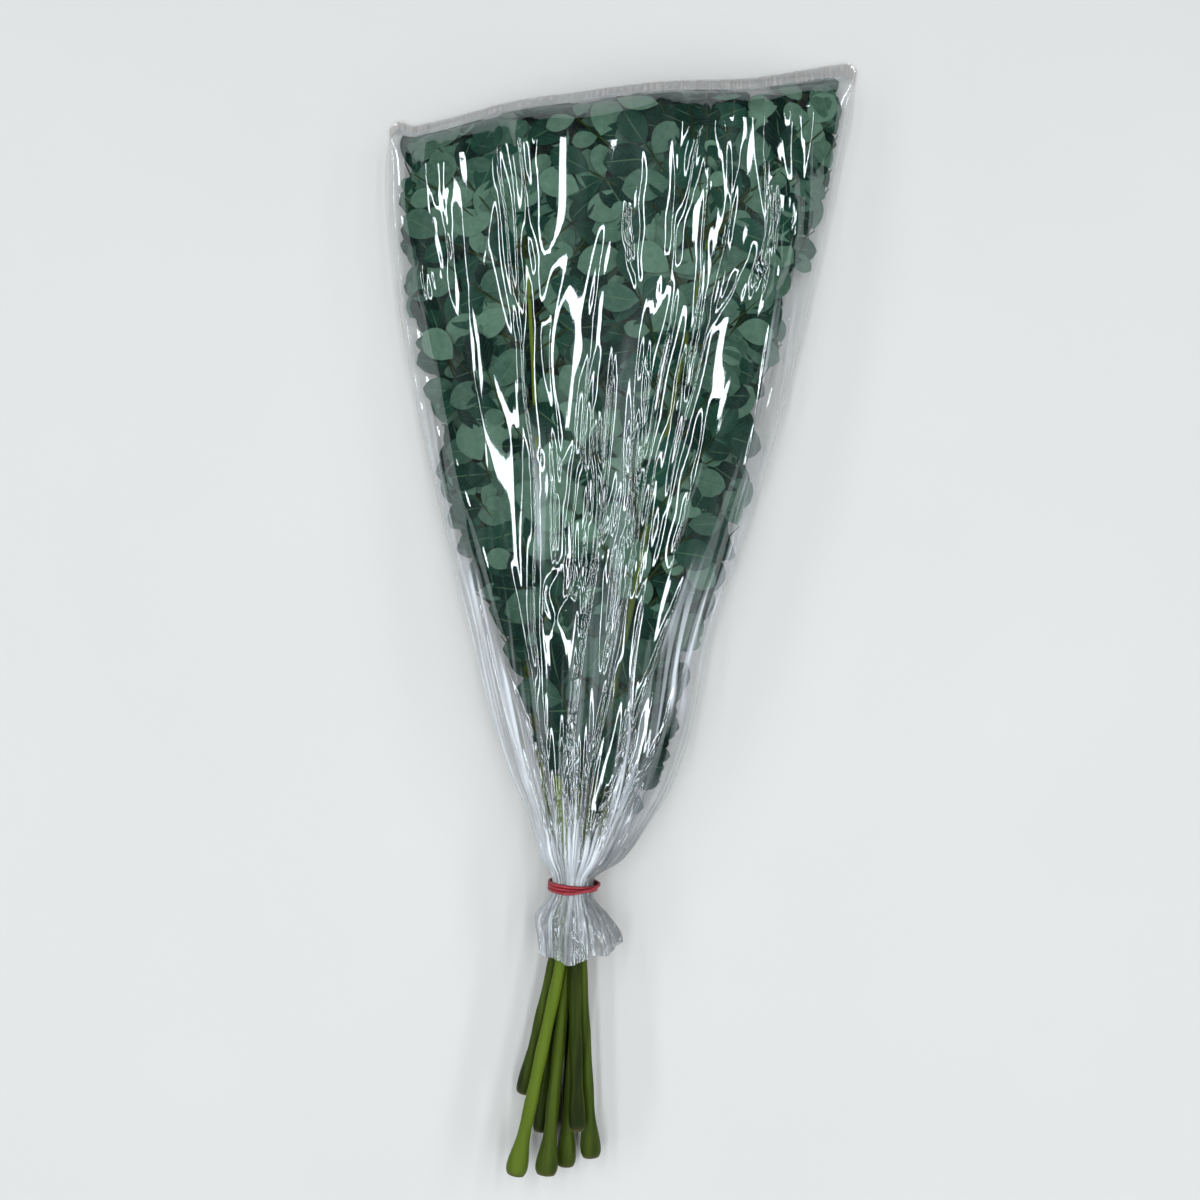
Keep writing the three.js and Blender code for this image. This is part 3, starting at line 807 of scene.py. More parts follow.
@dataclass(frozen=True)
class RubberFinish:
    """Satin red rubber with a fine mould grain."""

    red: tuple = (0.20, 0.006, 0.014, 1)
    light: tuple = (0.29, 0.012, 0.024, 1)
    roughness: float = 0.42

    def build(self) -> bpy.types.Material:
        """Return the band's material."""
        nodes = Nodes("red_rubber")
        colour = nodes.blend(nodes.spread(nodes.noise(90.0), 0.35, 0.7), self.red, self.light)
        normal = nodes.bump(nodes.noise(700.0), 0.3, 0.0002)
        return nodes.finish(Base_Color=colour, Roughness=self.roughness, Normal=normal)


def deselect() -> None:
    """Deselect everything, because operators act on all that is selected."""
    bpy.ops.object.select_all(action="DESELECT")


def as_piece(name: str, points: np.ndarray, faces: list, materials: list) -> bpy.types.Object:
    """Make a smooth mesh object at the origin.

    Args:
        name: The piece's name.
        points: Its points, in millimetres.
        faces: Its faces, as indices of points.
        materials: Its materials.

    Returns:
        The new object.
    """
    mesh = bpy.data.meshes.new(name)
    mesh.from_pydata((points * MM).tolist(), [], faces)
    for material in materials:
        mesh.materials.append(material)
    mesh.polygons.foreach_set("use_smooth", [True] * len(mesh.polygons))
    piece = bpy.data.objects.new(name, mesh)
    bpy.context.scene.collection.objects.link(piece)
    return piece


def keep_values(mesh: bpy.types.Mesh, **values) -> None:
    """Keep values on a mesh, one for each point, under the names that its material reads."""
    for name, kept in values.items():
        mesh.attributes.new(name, "FLOAT", "POINT").data.foreach_set("value", kept)


def grid_template(across: int, along: int) -> tuple:
    """Model a unit grid and return its points as shares from 0 to 1 with its faces.

    Args:
        across: Its divisions across.
        along: Its divisions along.

    Returns:
        An array of points, x across and y along, and a list of faces.
    """
    deselect()
    bpy.ops.mesh.primitive_grid_add(x_subdivisions=across, y_subdivisions=along, size=1.0)
    made = bpy.context.object
    points = np.array([v.co[:2] for v in made.data.vertices]) + 0.5
    faces = [tuple(face.vertices) for face in made.data.polygons]
    mesh = made.data
    bpy.data.objects.remove(made)
    bpy.data.meshes.remove(mesh)
    return points, faces


def tube(points: np.ndarray, radii: np.ndarray, sides: int) -> tuple:
    """Return the points and faces of a closed tube along points, with a flat end at each end.

    Args:
        points: The middle line, in millimetres.
        radii: The radius at each point.
        sides: How many sides the tube has.

    Returns:
        The tube's points and its faces.
    """
    along = np.gradient(points, axis=0)
    along /= np.linalg.norm(along, axis=1)[:, None]
    side = np.cross(along, (0.0, 0.0, 1.0))
    side /= np.linalg.norm(side, axis=1)[:, None]
    up = np.cross(side, along)
    angle = np.linspace(0, 2 * math.pi, sides, endpoint=False)
    ring = np.cos(angle)[None, :, None] * side[:, None] + np.sin(angle)[None, :, None] * up[:, None]
    made = (points[:, None] + ring * radii[:, None, None]).reshape(-1, 3)
    faces = []
    for r in range(len(points) - 1):
        for i in range(sides):
            a, b = r * sides + i, r * sides + (i + 1) % sides
            faces.append((a, a + sides, b + sides, b))
    faces.append(tuple(range(sides)))
    faces.append(tuple(reversed(range(len(made) - sides, len(made)))))
    return made, faces


class Part(IntEnum):
    """A frond's parts, by the index of their material."""

    STALK = 0
    LEAFLET = 1


@dataclass
class MeshParts:
    """The parts of a frond's mesh, with what their materials read at each point."""

    points: list = field(default_factory=list)
    faces: list = field(default_factory=list)
    kinds: list = field(default_factory=list)
    tones: list = field(default_factory=list)
    pales: list = field(default_factory=list)
    uvs: list = field(default_factory=list)
    count: int = 0

    def add(self, kind: Part, points: np.ndarray, faces: list, tone, pale, uv=None) -> None:
        """Add a part.

        Args:
            kind: What it is.
            points: Its points, in millimetres.
            faces: Its faces, as indices of its points.
            tone: How light it is, at each point or as a whole.
            pale: How far it shows its paler colour, at each point or as a whole.
            uv: Its points' places on a leaflet, for a leaflet.
        """
        size = len(points)
        self.points.append(points)
        self.faces += [tuple(i + self.count for i in face) for face in faces]
        self.kinds += [int(kind)] * len(faces)
        self.tones.append(np.broadcast_to(tone, size))
        self.pales.append(np.broadcast_to(pale, size))
        self.uvs.append(np.zeros((size, 2)) if uv is None else uv)
        self.count += size

    def as_piece(self, name: str, materials: list) -> bpy.types.Object:
        """Make one object of all the parts."""
        piece = as_piece(name, np.concatenate(self.points), self.faces, materials)
        mesh = piece.data
        mesh.polygons.foreach_set("material_index", self.kinds)
        keep_values(mesh, tone=np.concatenate(self.tones), pale=np.concatenate(self.pales))
        corner = np.zeros(len(mesh.loops), dtype=np.int32)
        mesh.loops.foreach_get("vertex_index", corner)
        layer = mesh.uv_layers.new(name="leaflet")
        layer.data.foreach_set("uv", np.concatenate(self.uvs)[corner].ravel())
        return piece


@dataclass
class FrondPiece:
    """One frond dressed: its stalk and ribs as tubes, and its leaflets as thin curved blades."""

    frond: Frond
    foot_share: float = 0.06
    foot_rings: int = 15
    stalk_rings: int = 110
    stalk_sides: int = 12
    rib_sides: int = 5
    rib_radius: float = 0.6
    rib_taper: tuple = (1.15, 0.6)
    rib_tone: float = 0.12
    across: int = 4
    along: int = 8
    tilt: float = math.radians(18)
    nod: float = math.radians(14)
    cup: float = 5.0
    curl: float = 2.6
    crease: float = 0.35
    free_pitch: float = 3.5
    film_gap: float = 1.4
    furthest: float = 427.5
    underside_share: float = 0.5

    def _leaf_points(self, leaflet: Leaflet, grid: np.ndarray) -> np.ndarray:
        """Bend the unit grid to one leaflet.

        Args:
            leaflet: The leaflet.
            grid: The unit grid's points.

        Returns:
            Its points in the bunch's frame, in millimetres.
        """
        form, seed = self.frond.layers.form, leaflet.seed
        across, along = grid[:, 0] - 0.5, grid[:, 1] ** 0.8
        shape = np.sin(math.pi * np.clip(along, 0, 1) ** 1.12) ** 0.62
        broad = 0.03 + 0.99 * shape * (0.86 + 0.14 * along)
        pull = 0.1 * (vary(seed + 3) - 0.5) * np.sin(math.pi * along)
        w = (across * broad + pull) * leaflet.width
        l = along * leaflet.length
        c, s = math.cos(leaflet.angle), math.sin(leaflet.angle)
        x, y = leaflet.foot[0] - w * c - l * s, leaflet.foot[1] - w * s + l * c
        y = y - np.maximum(0, form.locate(x, y)[1] - self.furthest)
        z, pitch = self.frond.layers.at(leaflet.layer, x, y)
        lean = w * math.tan(self.tilt * (vary(seed + 1) - 0.5))
        lean = lean + (l - 0.5 * leaflet.length) * math.tan(self.nod * (vary(seed + 2) - 0.5)) * along
        cup = (vary(seed + 4) - 0.35) * self.cup * across ** 2 * broad
        curl = (vary(seed + 5) - 0.6) * self.curl * along ** 2
        crease = self.crease * np.abs(across) * 2 * broad
        z = z + np.clip(pitch / self.free_pitch, 0.1, 1) * (lean + cup + curl + crease)
        q, place = form.locate(x, y)
        ceiling = form.crown(q, place) - self.film_gap
        floor = form.under(q, place) + self.film_gap
        return np.stack([x, y - form.settle(q, place), np.clip(z, np.minimum(floor, ceiling), ceiling)], axis=1)

    def _add_stalk(self, parts: MeshParts) -> None:
        """Add the stalk and rachis, with closer rings at the swollen base."""
        plan, path = self.frond.plan, self.frond.path
        base = np.linspace(0, self.foot_share, self.foot_rings, endpoint=False)
        shares = np.concatenate([base, np.linspace(self.foot_share, 1, self.stalk_rings)])
        middle = np.array([path.at_length(share) for share in shares])
        distance, along = shares * path.length, middle[:, 1] - NECK_Y
        radii = np.array([self.frond.radius(*spot) for spot in zip(distance, along)])
        lumpy = 1 + 0.05 * np.sin(0.21 * distance + plan.bulb)
        tone = plan.tone - 0.25 * np.exp(-distance / 16) + 0.5 * ease(along, 60, 200)
        cut = np.exp(-distance / 1.2)
        points, faces = tube(middle, radii * lumpy, self.stalk_sides)
        tone, cut = np.repeat(tone, self.stalk_sides), np.repeat(cut, self.stalk_sides)
        parts.add(Part.STALK, points, faces, tone, cut)

    def _add_rib(self, parts: MeshParts, rib: Rib) -> None:
        """Add a pinna's rib."""
        flat = np.array(rib.points)
        z = self.frond.layers.at(rib.layer, flat[:, 0], flat[:, 1])[0]
        radii = self.rib_radius * np.linspace(*self.rib_taper, len(flat))
        points, faces = tube(np.column_stack([flat, z]), radii, self.rib_sides)
        parts.add(Part.STALK, points, faces, self.rib_tone, 0)

    def _add_leaflet(self, parts: MeshParts, leaflet: Leaflet, grid: np.ndarray, faces: list) -> None:
        """Add a leaflet, painted darker the deeper it lies in the bunch and the nearer it is to the band, which
        is painted shade. Some are turned and show their paler underside.
        """
        # Painted shade: the lower the frond's layer and the nearer the leaflet is to the band, the darker its
        # tone and the less its paler underside shows.
        depth = 0.6 + 0.4 * self.frond.layer / (len(FROND_PLANS) - 1)
        depth *= mix(0.3, 1, float(ease(leaflet.foot[1] - NECK_Y, 60, 200)))
        turned = vary(leaflet.seed + 9) < self.underside_share
        pale = depth * mix(0.75, 1, vary(leaflet.seed + 6)) if turned else 0
        points = self._leaf_points(leaflet, grid)
        parts.add(Part.LEAFLET, points, faces, depth * vary(leaflet.seed + 8), pale, grid[:, ::-1])

    def build(self, materials: list) -> bpy.types.Object:
        """Build the frond as one piece.

        Args:
            materials: The stalk's material and the leaflets'.

        Returns:
            The piece, which stands for the frond's solid.
        """
        parts = MeshParts()
        self._add_stalk(parts)
        for rib in self.frond.ribs:
            self._add_rib(parts, rib)
        grid, faces = grid_template(self.across, self.along)
        for leaflet in self.frond.leaflets:
            self._add_leaflet(parts, leaflet, grid, faces)
        plan = self.frond.plan
        piece = parts.as_piece(f"moringa_{plan.node}", materials)
        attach(piece, "root")
        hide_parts(plan.node)
        return piece


class Pattern(Enum):
    """The seeds of the noise in the film."""

    LONG = 1.5
    DRIFT = 3.0
    CRUMPLE = 4.5
    FINE = 7.5
    BROAD = 14.0
    PATCH = 20.0
    STREAK = 31.0
    FINE_STREAK = 37.0
    STRIPE = 44.0
    TUCK = 51.0
    SHADY = 57.0


def creases(u: np.ndarray, v: np.ndarray, pattern: Pattern, slope: float) -> np.ndarray:
    """Return sharp ridges along the borders of stretched cells, from 0 to 1.

    Args:
        u: Places across the cells, in cells.
        v: Places along the cells, in cells.
        pattern: Which cells.
        slope: How wide the ridges' slopes are, in cells.
    """
    spans = [noise.voronoi(Vector((a, b, pattern.value)))[0] for a, b in zip(u, v)]
    gap = np.array([distances[1] - distances[0] for distances in spans])
    return 1 - np.clip(gap / slope, 0, 1)


def lumps(u: np.ndarray, v: np.ndarray, pattern: Pattern) -> np.ndarray:
    """Return smooth noise from about -1 to 1 over places in cells."""
    return 1.6 * np.array([noise.noise(Vector((a, b, pattern.value))) for a, b in zip(u, v)])


class FilmSpots:
    """The points of the film's form, with what both its folds and its looks depend on there."""

    def __init__(self, form: BagForm, angle: np.ndarray, place: np.ndarray, points: np.ndarray) -> None:
        """Work out what the points have in common.

        Args:
            form: The bag's form.
            angle: Their angles round the bag, from 0 at its right edge over the top.
            place: Their places along the bunch.
            points: The points, in millimetres.
        """
        self.place, self.x, self.y = place, points[:, 0], points[:, 1]
        self.turn, self.q = angle / math.pi, np.cos(angle)
        self.rise = np.abs(np.sin(angle))
        self.is_top = np.sin(angle) >= 0
        self.half = 0.5 * (form.section("left", place) + form.section("right", place))
        self.low = 1 - ease(place, 60, 180)
        self.seal_start = SEAL_AT - mix(*SEAL_WIDTHS, 0.5 + 0.5 * self.q)
        self.drift = 0.8 * lumps(self.turn * 3, place / 130, Pattern.DRIFT)
        self.patch = lumps(self.x / 34, self.y / 48, Pattern.PATCH)
        self.streak = ease(lumps(self.turn * 30 + self.drift, place / 150, Pattern.STREAK), 0, 0.3)
        self.long_ridge = creases(self.turn * LONG_CELLS + self.drift, place / 150, Pattern.LONG, 0.95)


@dataclass(frozen=True)
class MilkyBand:
    """A band where the film lies in folds and looks milky: its middle line in plan, half width and strength."""

    line: tuple
    half_width: float
    strength: float

    def cover(self, spots: FilmSpots) -> tuple:
        """Return how milky it makes the film, and how near the film is to its edges, from 0 to 1."""
        line = sorted(self.line, key=lambda spot: spot[1])
        first, last = line[0][1], line[-1][1]
        middle = np.interp(spots.place, [at for _, at in line], [x for x, _ in line])
        reach = self.half_width * np.clip(spots.half / 60, 0.35, 1.1)
        ends = ease(spots.place, first - 12, first + 6) * (1 - ease(spots.place, last - 45, last))
        away = np.abs(spots.x - middle + 1.5 * spots.drift)
        return self.strength * ends * (1 - ease(away / reach, 0.75, 1.05)), ends * hill(away, reach, 1.4)


MILKY_BANDS = (
    MilkyBand(((-82, 190), (-62, 130), (-42, 90), (-20, 36), (-7, 5)), 13, 0.62),
    MilkyBand(((64, 190), (42, 117), (29, 72), (15, 36), (3, 3)), 9, 0.5),
    MilkyBand(((12, 300), (11, 231), (10, 181), (4, 115), (-2, 59), (0, 10)), 8, 0.08),
    MilkyBand(((-33, 256), (-28, 218), (-25, 180)), 4.5, 0.3),
    MilkyBand(((92, 260), (73, 185), (62, 140), (50, 100)), 6, 0.24),
    MilkyBand(((-103, 290), (-88, 220), (-74, 160)), 5, 0.22),
    MilkyBand(((101, 325), (95, 247), (85, 186), (77, 150)), 1.2, 0.4),
    MilkyBand(((90, 325), (82, 247), (73, 186), (66, 150)), 0.9, 0.3),
    MilkyBand(((104, 290), (98, 262), (91, 220)), 0.9, 0.5),
    MilkyBand(((-120, 380), (-112, 320), (-104, 280)), 1.0, 0.4),
)


@dataclass
class FilmBag:
    """The clear bag: one sheet of film round the leaves, folded lengthwise and sealed at its far end.

    The long and fine creases' heights are shares of a long cell's width, and the other heights are millimetres.
    """

    form: BagForm
    top_columns: int = 430
    under_columns: int = 28
    rows: int = 205
    evenness: float = 0.6
    folds: int = 50
    fold_length: tuple = (45.0, 240.0)
    fold_width: tuple = (1.5, 3.6)
    fold_slope: tuple = (0.2, 0.46)
    gathers: int = 46
    gather_length: tuple = (50.0, 230.0)
    gather_width: tuple = (0.5, 1.0)
    gather_slope: tuple = (0.3, 0.75)
    broad_height: float = 1.5
    long_height: float = 0.11
    fine_height: float = 0.035
    fine_cells: int = 60
    crumple_height: float = 1.5
    border_height: float = 0.8
    tuck_height: float = 1.3
    under_share: float = 0.15
    middle_height: float = 12.0
    neck_squeeze: float = 0.12
    squeeze_length: float = 10.0
    least_height: float = 0.15
    least_mouth_height: float = 0.3
    weld: float = 0.00002

    def _surface(self) -> tuple:
        """Return the grid's angles, places, points and the unit grid's faces."""
        columns = self.top_columns + self.under_columns
        grid, faces = grid_template(columns, self.rows)
        column = grid[:, 0] * columns
        over = column <= self.top_columns
        turn = np.clip(column / self.top_columns, 0, 1)
        q_over = mix(np.cos(math.pi * turn), 1 - 2 * turn, self.evenness)
        under = (column - self.top_columns) / self.under_columns
        q = np.where(over, q_over, -np.cos(math.pi * under))
        near = 0.55 * grid[:, 1] + 0.45 * grid[:, 1] ** 2
        place = mix(MOUTH_AT, SEAL_AT, near)
        x, y = self.form.plan(q, place)
        z = np.where(over, self.form.crown(q, place), self.form.under(q, place))
        angle = np.arccos(np.clip(q, -1, 1))
        return np.where(over, angle, 2 * math.pi - angle), place, np.stack([x, y, z], axis=1), faces

    def _long_folds(self, spots: FilmSpots) -> np.ndarray:
        """Return the heights of the long sharp folds. Two of five branch off from the one before them."""
        q, place, half = spots.q, spots.place, spots.half
        height = np.zeros(len(q))
        first = start = 0.0
        for i in range(self.folds):
            if i % 5 not in (1, 3):
                start = mix(-5, 350, vary(i + 0.13) ** 0.85)
                first = mix(-0.96, 0.96, vary(i + 0.41))
            end = min(start + mix(*self.fold_length, vary(i + 0.29) ** 1.4), SEAL_AT - 9)
            last = first + 0.26 * (vary(i + 0.57) - 0.5) + 0.1 * first
            s = (place - start) / (end - start)
            line = mix(first, last, s) + 0.05 * (vary(i + 0.63) - 0.5) * np.sin(math.pi * s)
            line += 0.005 * np.sin(s * 17 + i)
            width = mix(*self.fold_width, vary(i + 0.71) ** 1.5) * np.clip(half / 75, 0.3, 1)
            ends = np.clip(np.sin(math.pi * np.clip(s, 0, 1)), 0, 1) ** 0.6
            slope = mix(*self.fold_slope, vary(i + 0.83)) * (1 + 0.35 * np.sin(place / 17 + 2.3 * i))
            slope *= 1 - 0.4 * ease(np.abs(line), 0.5, 0.8)
            height += slope * width * hill((q - line) * half / width, 0, 1) * ends / STEEPEST
        return height

    def _gathers(self, spots: FilmSpots) -> tuple:
        """Return the heights of the gathers that fan out from the band, and how milky each makes the film."""
        q, place = spots.q, spots.place
        height, milk = np.zeros(len(q)), np.zeros(len(q))
        for i in range(self.gathers):
            share = (i + 2.4 * vary(i + 0.37)) / (self.gathers + 2)
            line = mix(-0.97, 0.97, share) + 0.03 * np.sin(place / 31 + 2.1 * i)
            length = mix(*self.gather_length, vary(i + 0.61) ** 3.5)
            width = mix(*self.gather_width, vary(i + 0.77)) * np.clip(spots.half / 26, 0.6, 2.4)
            ridge = hill((q - line) * spots.half / width, 0, 1) * (1 - ease(place, 0.4 * length, length))
            height += mix(*self.gather_slope, vary(i + 0.91)) * width * ridge / STEEPEST
            milk = np.maximum(milk, ridge ** 2 * (0.55 if vary(i + 0.19) < 0.4 else 0.03))
        clear = (1 - ease(np.abs(q), 0.2, 0.5)) * ease(place, 30, 80)
        height *= mix(1, 0.4, ease(-place, 4, 16)) * mix(1, 0.4, ease(place, 30, 120))
        return height, spots.low * milk * (1 - 0.85 * clear) * mix(1, 0.25, ease(-place, 2, 14))

    def _height(self, spots: FilmSpots, gathers: np.ndarray, borders: np.ndarray) -> np.ndarray:
        """Return how far the film stands out of the bag's form.

        Args:
            spots: The film's points.
            gathers: The heights of the gathers.
            borders: How near each point is to a milky band's edges.
        """
        place, turn, drift, patch = spots.place, spots.turn, spots.drift, spots.patch
        cell = math.pi * spots.half / LONG_CELLS
        broad = lumps(turn * 6 + drift, place / 110, Pattern.BROAD)
        height = self.broad_height * broad * spots.half / 100
        ridges = spots.long_ridge * (0.75 + 0.5 * patch) * mix(0.35, 0.75, ease(place, 150, 330))
        height += self.long_height * cell * ridges
        height += np.where(spots.is_top, self._long_folds(spots) + gathers, 0)
        fine = creases(turn * self.fine_cells + 2 * drift, place / 42, Pattern.FINE, 0.7)
        height += self.fine_height * cell * fine * ease(patch, 0.62, 0.8) * ease(place, 150, 220)
        crumple = creases(spots.x / 17 + 0.4 * drift, spots.y / 26, Pattern.CRUMPLE, 0.9)
        crumpled = np.maximum(ease(patch, 0.64, 0.9), spots.low * ease(patch, 0.5, 0.8))
        height += self.crumple_height * crumple * crumpled * ease(spots.half, 15, 60)
        tuck = creases(turn * 16 + 2 * drift, place / 11, Pattern.TUCK, 0.8) * ease(-place, 3, 12)
        height += self.border_height * borders + self.tuck_height * tuck
        height *= np.where(spots.is_top, 1, self.under_share) * np.sqrt(spots.rise)
        return height * (1 - 0.92 * ease(place, spots.seal_start - 12, spots.seal_start))

    def _looks(self, spots: FilmSpots, gathered: np.ndarray, folded: np.ndarray) -> dict:
        """Return what the material reads at each point, by name.

        Args:
            spots: The film's points.
            gathered: How milky the gathers make the film.
            folded: How milky the milky bands make it.
        """
        place, q, turn, drift, streak = spots.place, spots.q, spots.turn, spots.drift, spots.streak
        fine_streak = ease(lumps(turn * 58 + 1.5 * drift, place / 120, Pattern.FINE_STREAK), -0.05, 0.3)
        haze = 0.002 + gathered + 0.3 * (1 - ease(np.abs(place), 10, 45)) * (0.1 + 0.9 * streak)
        haze += folded * (0.04 + 0.6 * streak + 0.7 * fine_streak)
        haze += 0.02 * spots.long_ridge ** 8 + 0.1 * ease(-place, -4, 6) * (0.1 + streak)
        # The seal and the bare sides get a warm grey, partly the seal's own layered film and partly painted
        # shadow of what lies under the film.
        bare = ease(np.abs(q), 0.955, 0.985) * ease(place, 110, 200)
        bare = np.maximum(bare, hill(place, 262, 34) * ease(q, 0.8, 0.88))
        seal = ease(place, spots.seal_start - 1, spots.seal_start + 1)
        stripe = ease(lumps(spots.x / 1.7, spots.y / 60, Pattern.STRIPE), -0.5, 0.5)
        haze += 0.2 * bare + mix(0.34, 0.62, stripe) * seal
        # Painted shade: dark grey film in the lower part, at the neck, the skirt and the sides of the neck,
        # where shadow shows through the film; it also makes the film less clear there.
        shady = ease(lumps(turn * 46 - drift, place / 110, Pattern.SHADY), 0.02, 0.35)
        shade = shady * (1 - ease(place, 60, 190)) * mix(0.35, 1, ease(np.abs(q), 0.25, 0.7))
        shade *= 1 - ease(haze, 0.1, 0.4)
        neck = mix(0.52, 0.92, shady) * (1 - ease(place, 0, 30))
        sides = (1 - ease(place, 15, 80)) * (ease(q, 0.35, 0.6) + 0.5 * ease(-q, 0.55, 0.8))
        shade = np.maximum.reduce([shade, neck, sides])
        haze = np.clip(haze + mix(0.55, 0.3, ease(place, 20, 70)) * shade, 0, 0.85)
        return {"haze": haze * np.where(spots.is_top, 1, 0.4), "seal_and_shadow_grey": np.maximum(seal, bare), "shade": shade}

    def _outward(self, points: np.ndarray) -> np.ndarray:
        """Return the form's outward direction at each of its points."""
        net = points.reshape(self.rows + 1, self.top_columns + self.under_columns + 1, 3)
        normal = np.cross(np.gradient(net, axis=1), np.gradient(net, axis=0)).reshape(-1, 3)
        normal /= np.maximum(np.linalg.norm(normal, axis=1), 1e-9)[:, None]
        inwards = normal[:, 0] * points[:, 0] + normal[:, 2] * (points[:, 2] - self.middle_height) < 0
        return normal * np.where(inwards, -1, 1)[:, None]

    def _mouth(self, angle: np.ndarray, place: np.ndarray, points: np.ndarray) -> np.ndarray:
        """Return the points with the mouth ruffled past the band."""
        loose = ease(-place, 3, -MOUTH_AT)
        outward = np.stack([points[:, 0], np.zeros(len(points)), points[:, 2] - NECK_HEIGHT], axis=1)
        outward /= np.linalg.norm(outward, axis=1)[:, None]
        ruffle = 2.6 * np.sin(9 * angle + 1.2) + 1.5 * np.sin(17 * angle)
        ruffled = points + outward * (loose * (0.6 + 0.4 * ruffle))[:, None]
        ruffled[:, 1] += loose * (2.5 + 0.9 * np.sin(3 * angle + 0.6) + 1.2 * np.sin(7 * angle))
        ruffled[:, 2] = np.maximum(ruffled[:, 2], self.least_mouth_height)
        return ruffled

    def build(self, material: bpy.types.Material) -> bpy.types.Object:
        """Build the bag's film.

        Args:
            material: The film's material.

        Returns:
            The piece, which stands for the bag's solid.
        """
        angle, place, points, faces = self._surface()
        spots = FilmSpots(self.form, angle, place, points)
        gathers, gathered = self._gathers(spots)
        covers = [band.cover(spots) for band in MILKY_BANDS]
        folded, borders = (sum(values) for values in zip(*covers))
        points = points + self._outward(points) * self._height(spots, gathers, borders)[:, None]
        points = self._mouth(angle, place, points)
        points[:, 0] *= 1 - self.neck_squeeze * hill(place, 0, self.squeeze_length)
        points[:, 1] -= self.form.settle(spots.q, place)
        points[:, 2] = np.maximum(points[:, 2], self.least_height)
        piece = as_piece("clear_film_bag", points, faces, [material])
        keep_values(piece.data, **self._looks(spots, gathered, folded))
        self._close_seams(piece)
        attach(piece, "root")
        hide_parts("bag")
        return piece

    def _close_seams(self, piece: bpy.types.Object) -> None:
        """Join the film along its side and turn its faces outwards."""
        deselect()
        bpy.context.view_layer.objects.active = piece
        piece.select_set(True)
        bpy.ops.object.mode_set(mode="EDIT")
        bpy.ops.mesh.select_all(action="SELECT")
        bpy.ops.mesh.remove_doubles(threshold=self.weld)
        bpy.ops.mesh.normals_make_consistent(inside=False)
        bpy.ops.object.mode_set(mode="OBJECT")


@dataclass
class WoundBand:
    """The rubber band: three turns round the neck, the last of which crosses back over the others."""

    turns: int = 3
    thickness: float = 1.8
    pitch: float = 2.3
    clearance: float = 0.6
    crossing_turns: float = 0.42
    crossing_ends: float = 2.3
    half_width: float = 11.3
    half_height: float = 12.2
    steps: int = 210
    sides: int = 10

    def _point(self, share: float) -> tuple:
        """Return the band's middle line at a share of its whole length."""
        turned = share * self.turns
        left = self.turns - self.crossing_turns
        crossing = max(0.0, turned - left) / self.crossing_turns
        lift = self.pitch * float(ease(crossing, 0, 0.3)) * (1 - float(ease(crossing, 0.7, 1)))
        along = mix(-1, 1, min(1.0, turned / left)) * self.pitch * (1 - 2 * float(ease(crossing, 0.12, 0.88)))
        out = self.thickness / 2 + self.clearance + lift
        angle = self.crossing_ends + 2 * math.pi * turned
        x, z = (self.half_width + out) * math.cos(angle), (self.half_height + out) * math.sin(angle)
        return x, NECK_Y + along, NECK_HEIGHT + z

    def build(self, material: bpy.types.Material) -> bpy.types.Object:
        """Build the band, which stands for its solid."""
        middle = np.array([self._point(i / self.steps) for i in range(self.steps)])
        outward = middle - np.array([0.0, 0.0, NECK_HEIGHT])
        outward[:, 1] = 0
        outward /= np.linalg.norm(outward, axis=1)[:, None]
        angle = np.linspace(0, 2 * math.pi, self.sides, endpoint=False)
        radius = self.thickness / 2
        along = np.array([0, 1.0, 0])
        ring = np.cos(angle)[None, :, None] * outward[:, None] + np.sin(angle)[None, :, None] * along
        points = (middle[:, None] + radius * ring).reshape(-1, 3)
        faces = []
        for s in range(self.steps):
            for i in range(self.sides):
                a, b = s * self.sides + i, s * self.sides + (i + 1) % self.sides
                c, d = (a + self.sides) % len(points), (b + self.sides) % len(points)
                faces.append((a, b, d, c))
        piece = as_piece("wound_rubber_band", points, faces, [material])
        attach(piece, "root")
        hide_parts("rubber_band")
        return piece


@dataclass(frozen=True)
class Window:
    """A pair of long lights beside the bunch, one on each side.

    Attributes:
        name: Its name.
        place: Where the right one hangs, in metres.
        size: The width and length of each, in metres.
        power: The power of each, in watts.
    """

    name: str
    place: tuple
    size: tuple
    power: float


WINDOWS = (
    Window("inner_window", (0.5, -0.15, 1.5), (0.11, 3.3), 17),
    Window("outer_window", (1.15, -0.15, 1.4), (0.08, 3.3), 12),
    Window("side_window", (1.6, -0.3, 0.9), (0.14, 2.4), 14),
)


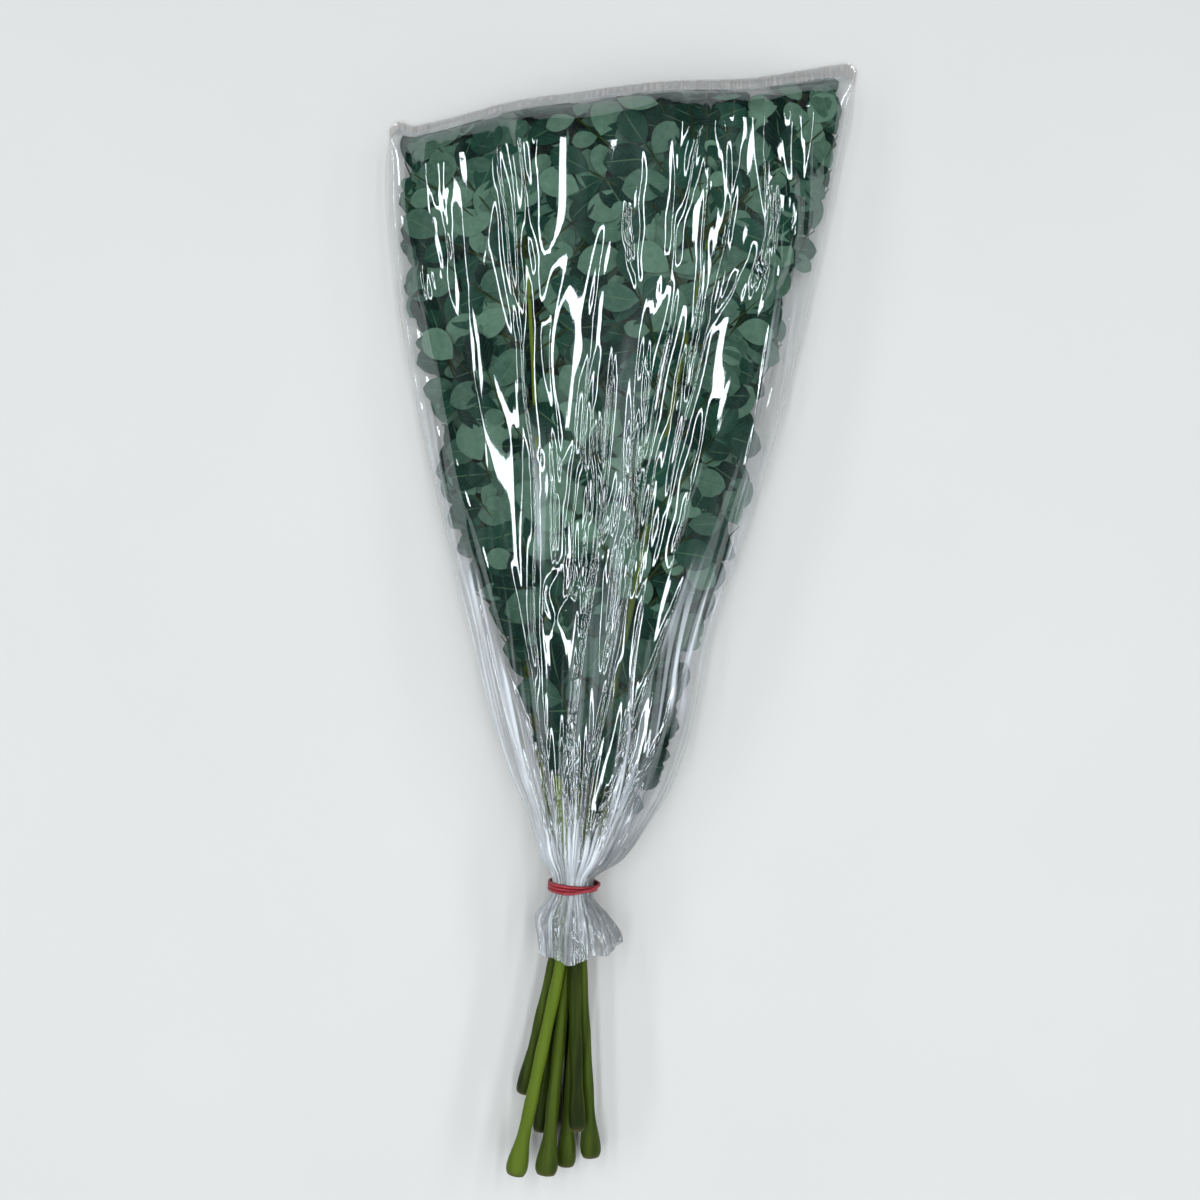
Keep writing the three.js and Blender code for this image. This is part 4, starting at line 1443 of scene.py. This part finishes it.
@dataclass
class Studio:
    """The floor, the lights and the camera, which looks straight down on the bunch."""

    view_centre: tuple = (0.0048, 0.0040)
    view_plane: float = 0.0055
    view_width: float = 0.660
    roll: float = math.radians(3.7)
    lens: float = 50.0
    sensor: float = 36.0
    floor_size: float = 6.0
    floor_height: float = -0.0002
    pane: tuple = (0.93, 0.98, 1.0)
    sky: tuple = (0.86, 0.92, 1.0, 1)
    sky_strength: float = 0.025

    def camera(self) -> None:
        """Make the camera."""
        deselect()
        distance = self.view_width * self.lens / self.sensor
        place = (*self.view_centre, self.view_plane + distance)
        bpy.ops.object.camera_add(location=place, rotation=(0, 0, self.roll))
        made = bpy.context.object
        made.data.lens, made.data.sensor_width = self.lens, self.sensor
        made.data.clip_start = 0.05
        bpy.context.scene.camera = made

    def floor(self) -> None:
        """Make the pale floor."""
        deselect()
        bpy.ops.mesh.primitive_plane_add(size=self.floor_size, location=(0, 0, self.floor_height))
        made = bpy.context.object
        made.name = "pale_floor"
        nodes = Nodes("pale_floor")
        tone = nodes.blend(nodes.noise(6.0), (0.515, 0.505, 0.495, 1), (0.54, 0.53, 0.52, 1))
        made.data.materials.append(nodes.finish(Base_Color=tone, Roughness=0.7))

    def light(self, window: Window, side: int) -> None:
        """Make one light of a pair, with its length along the bunch, turned towards the bunch.

        Args:
            window: The pair.
            side: Which of them, 1 for the right one and -1 for the left one.
        """
        across, along, up = window.place
        deselect()
        bpy.ops.object.light_add(type="AREA", location=(across * side, along, up))
        made = bpy.context.object
        made.name = f"{window.name}_{side}"
        made.data.shape = "RECTANGLE"
        made.data.size, made.data.size_y = window.size
        made.data.energy, made.data.color = window.power, self.pane
        made.rotation_euler = (0, math.atan2(across * side, up), 0)

    def build(self) -> None:
        """Make the whole studio."""
        bpy.context.scene.view_settings.view_transform = "Standard"
        world = bpy.data.worlds.new("soft_room")
        bpy.context.scene.world = world
        world.use_nodes = True
        background = world.node_tree.nodes["Background"]
        background.inputs["Color"].default_value = self.sky
        background.inputs["Strength"].default_value = self.sky_strength
        self.floor()
        self.camera()
        for side in (-1, 1):
            for window in WINDOWS:
                self.light(window, side)


def main() -> None:
    """Build the bunch over its solids."""
    logging.basicConfig(level=logging.INFO, format="%(name)s: %(message)s")
    Studio().build()
    form = BagForm()
    layers = LeafLayers(form)
    speckle = speckle_group()
    finishes = [StalkFinish().build(speckle), LeafFinish().build(speckle)]
    for layer, plan in enumerate(FROND_PLANS):
        frond = Frond(plan, layer, layers)
        piece = FrondPiece(frond).build(finishes)
        LOG.info("%s has %d leaflets", piece.name, len(frond.leaflets))
    film = FilmBag(form).build(FilmFinish().build())
    LOG.info("%s has %d faces", film.name, len(film.data.polygons))
    band = WoundBand().build(RubberFinish().build())
    LOG.info("%s has %d faces", band.name, len(band.data.polygons))


if __name__ == "__main__":
    main()
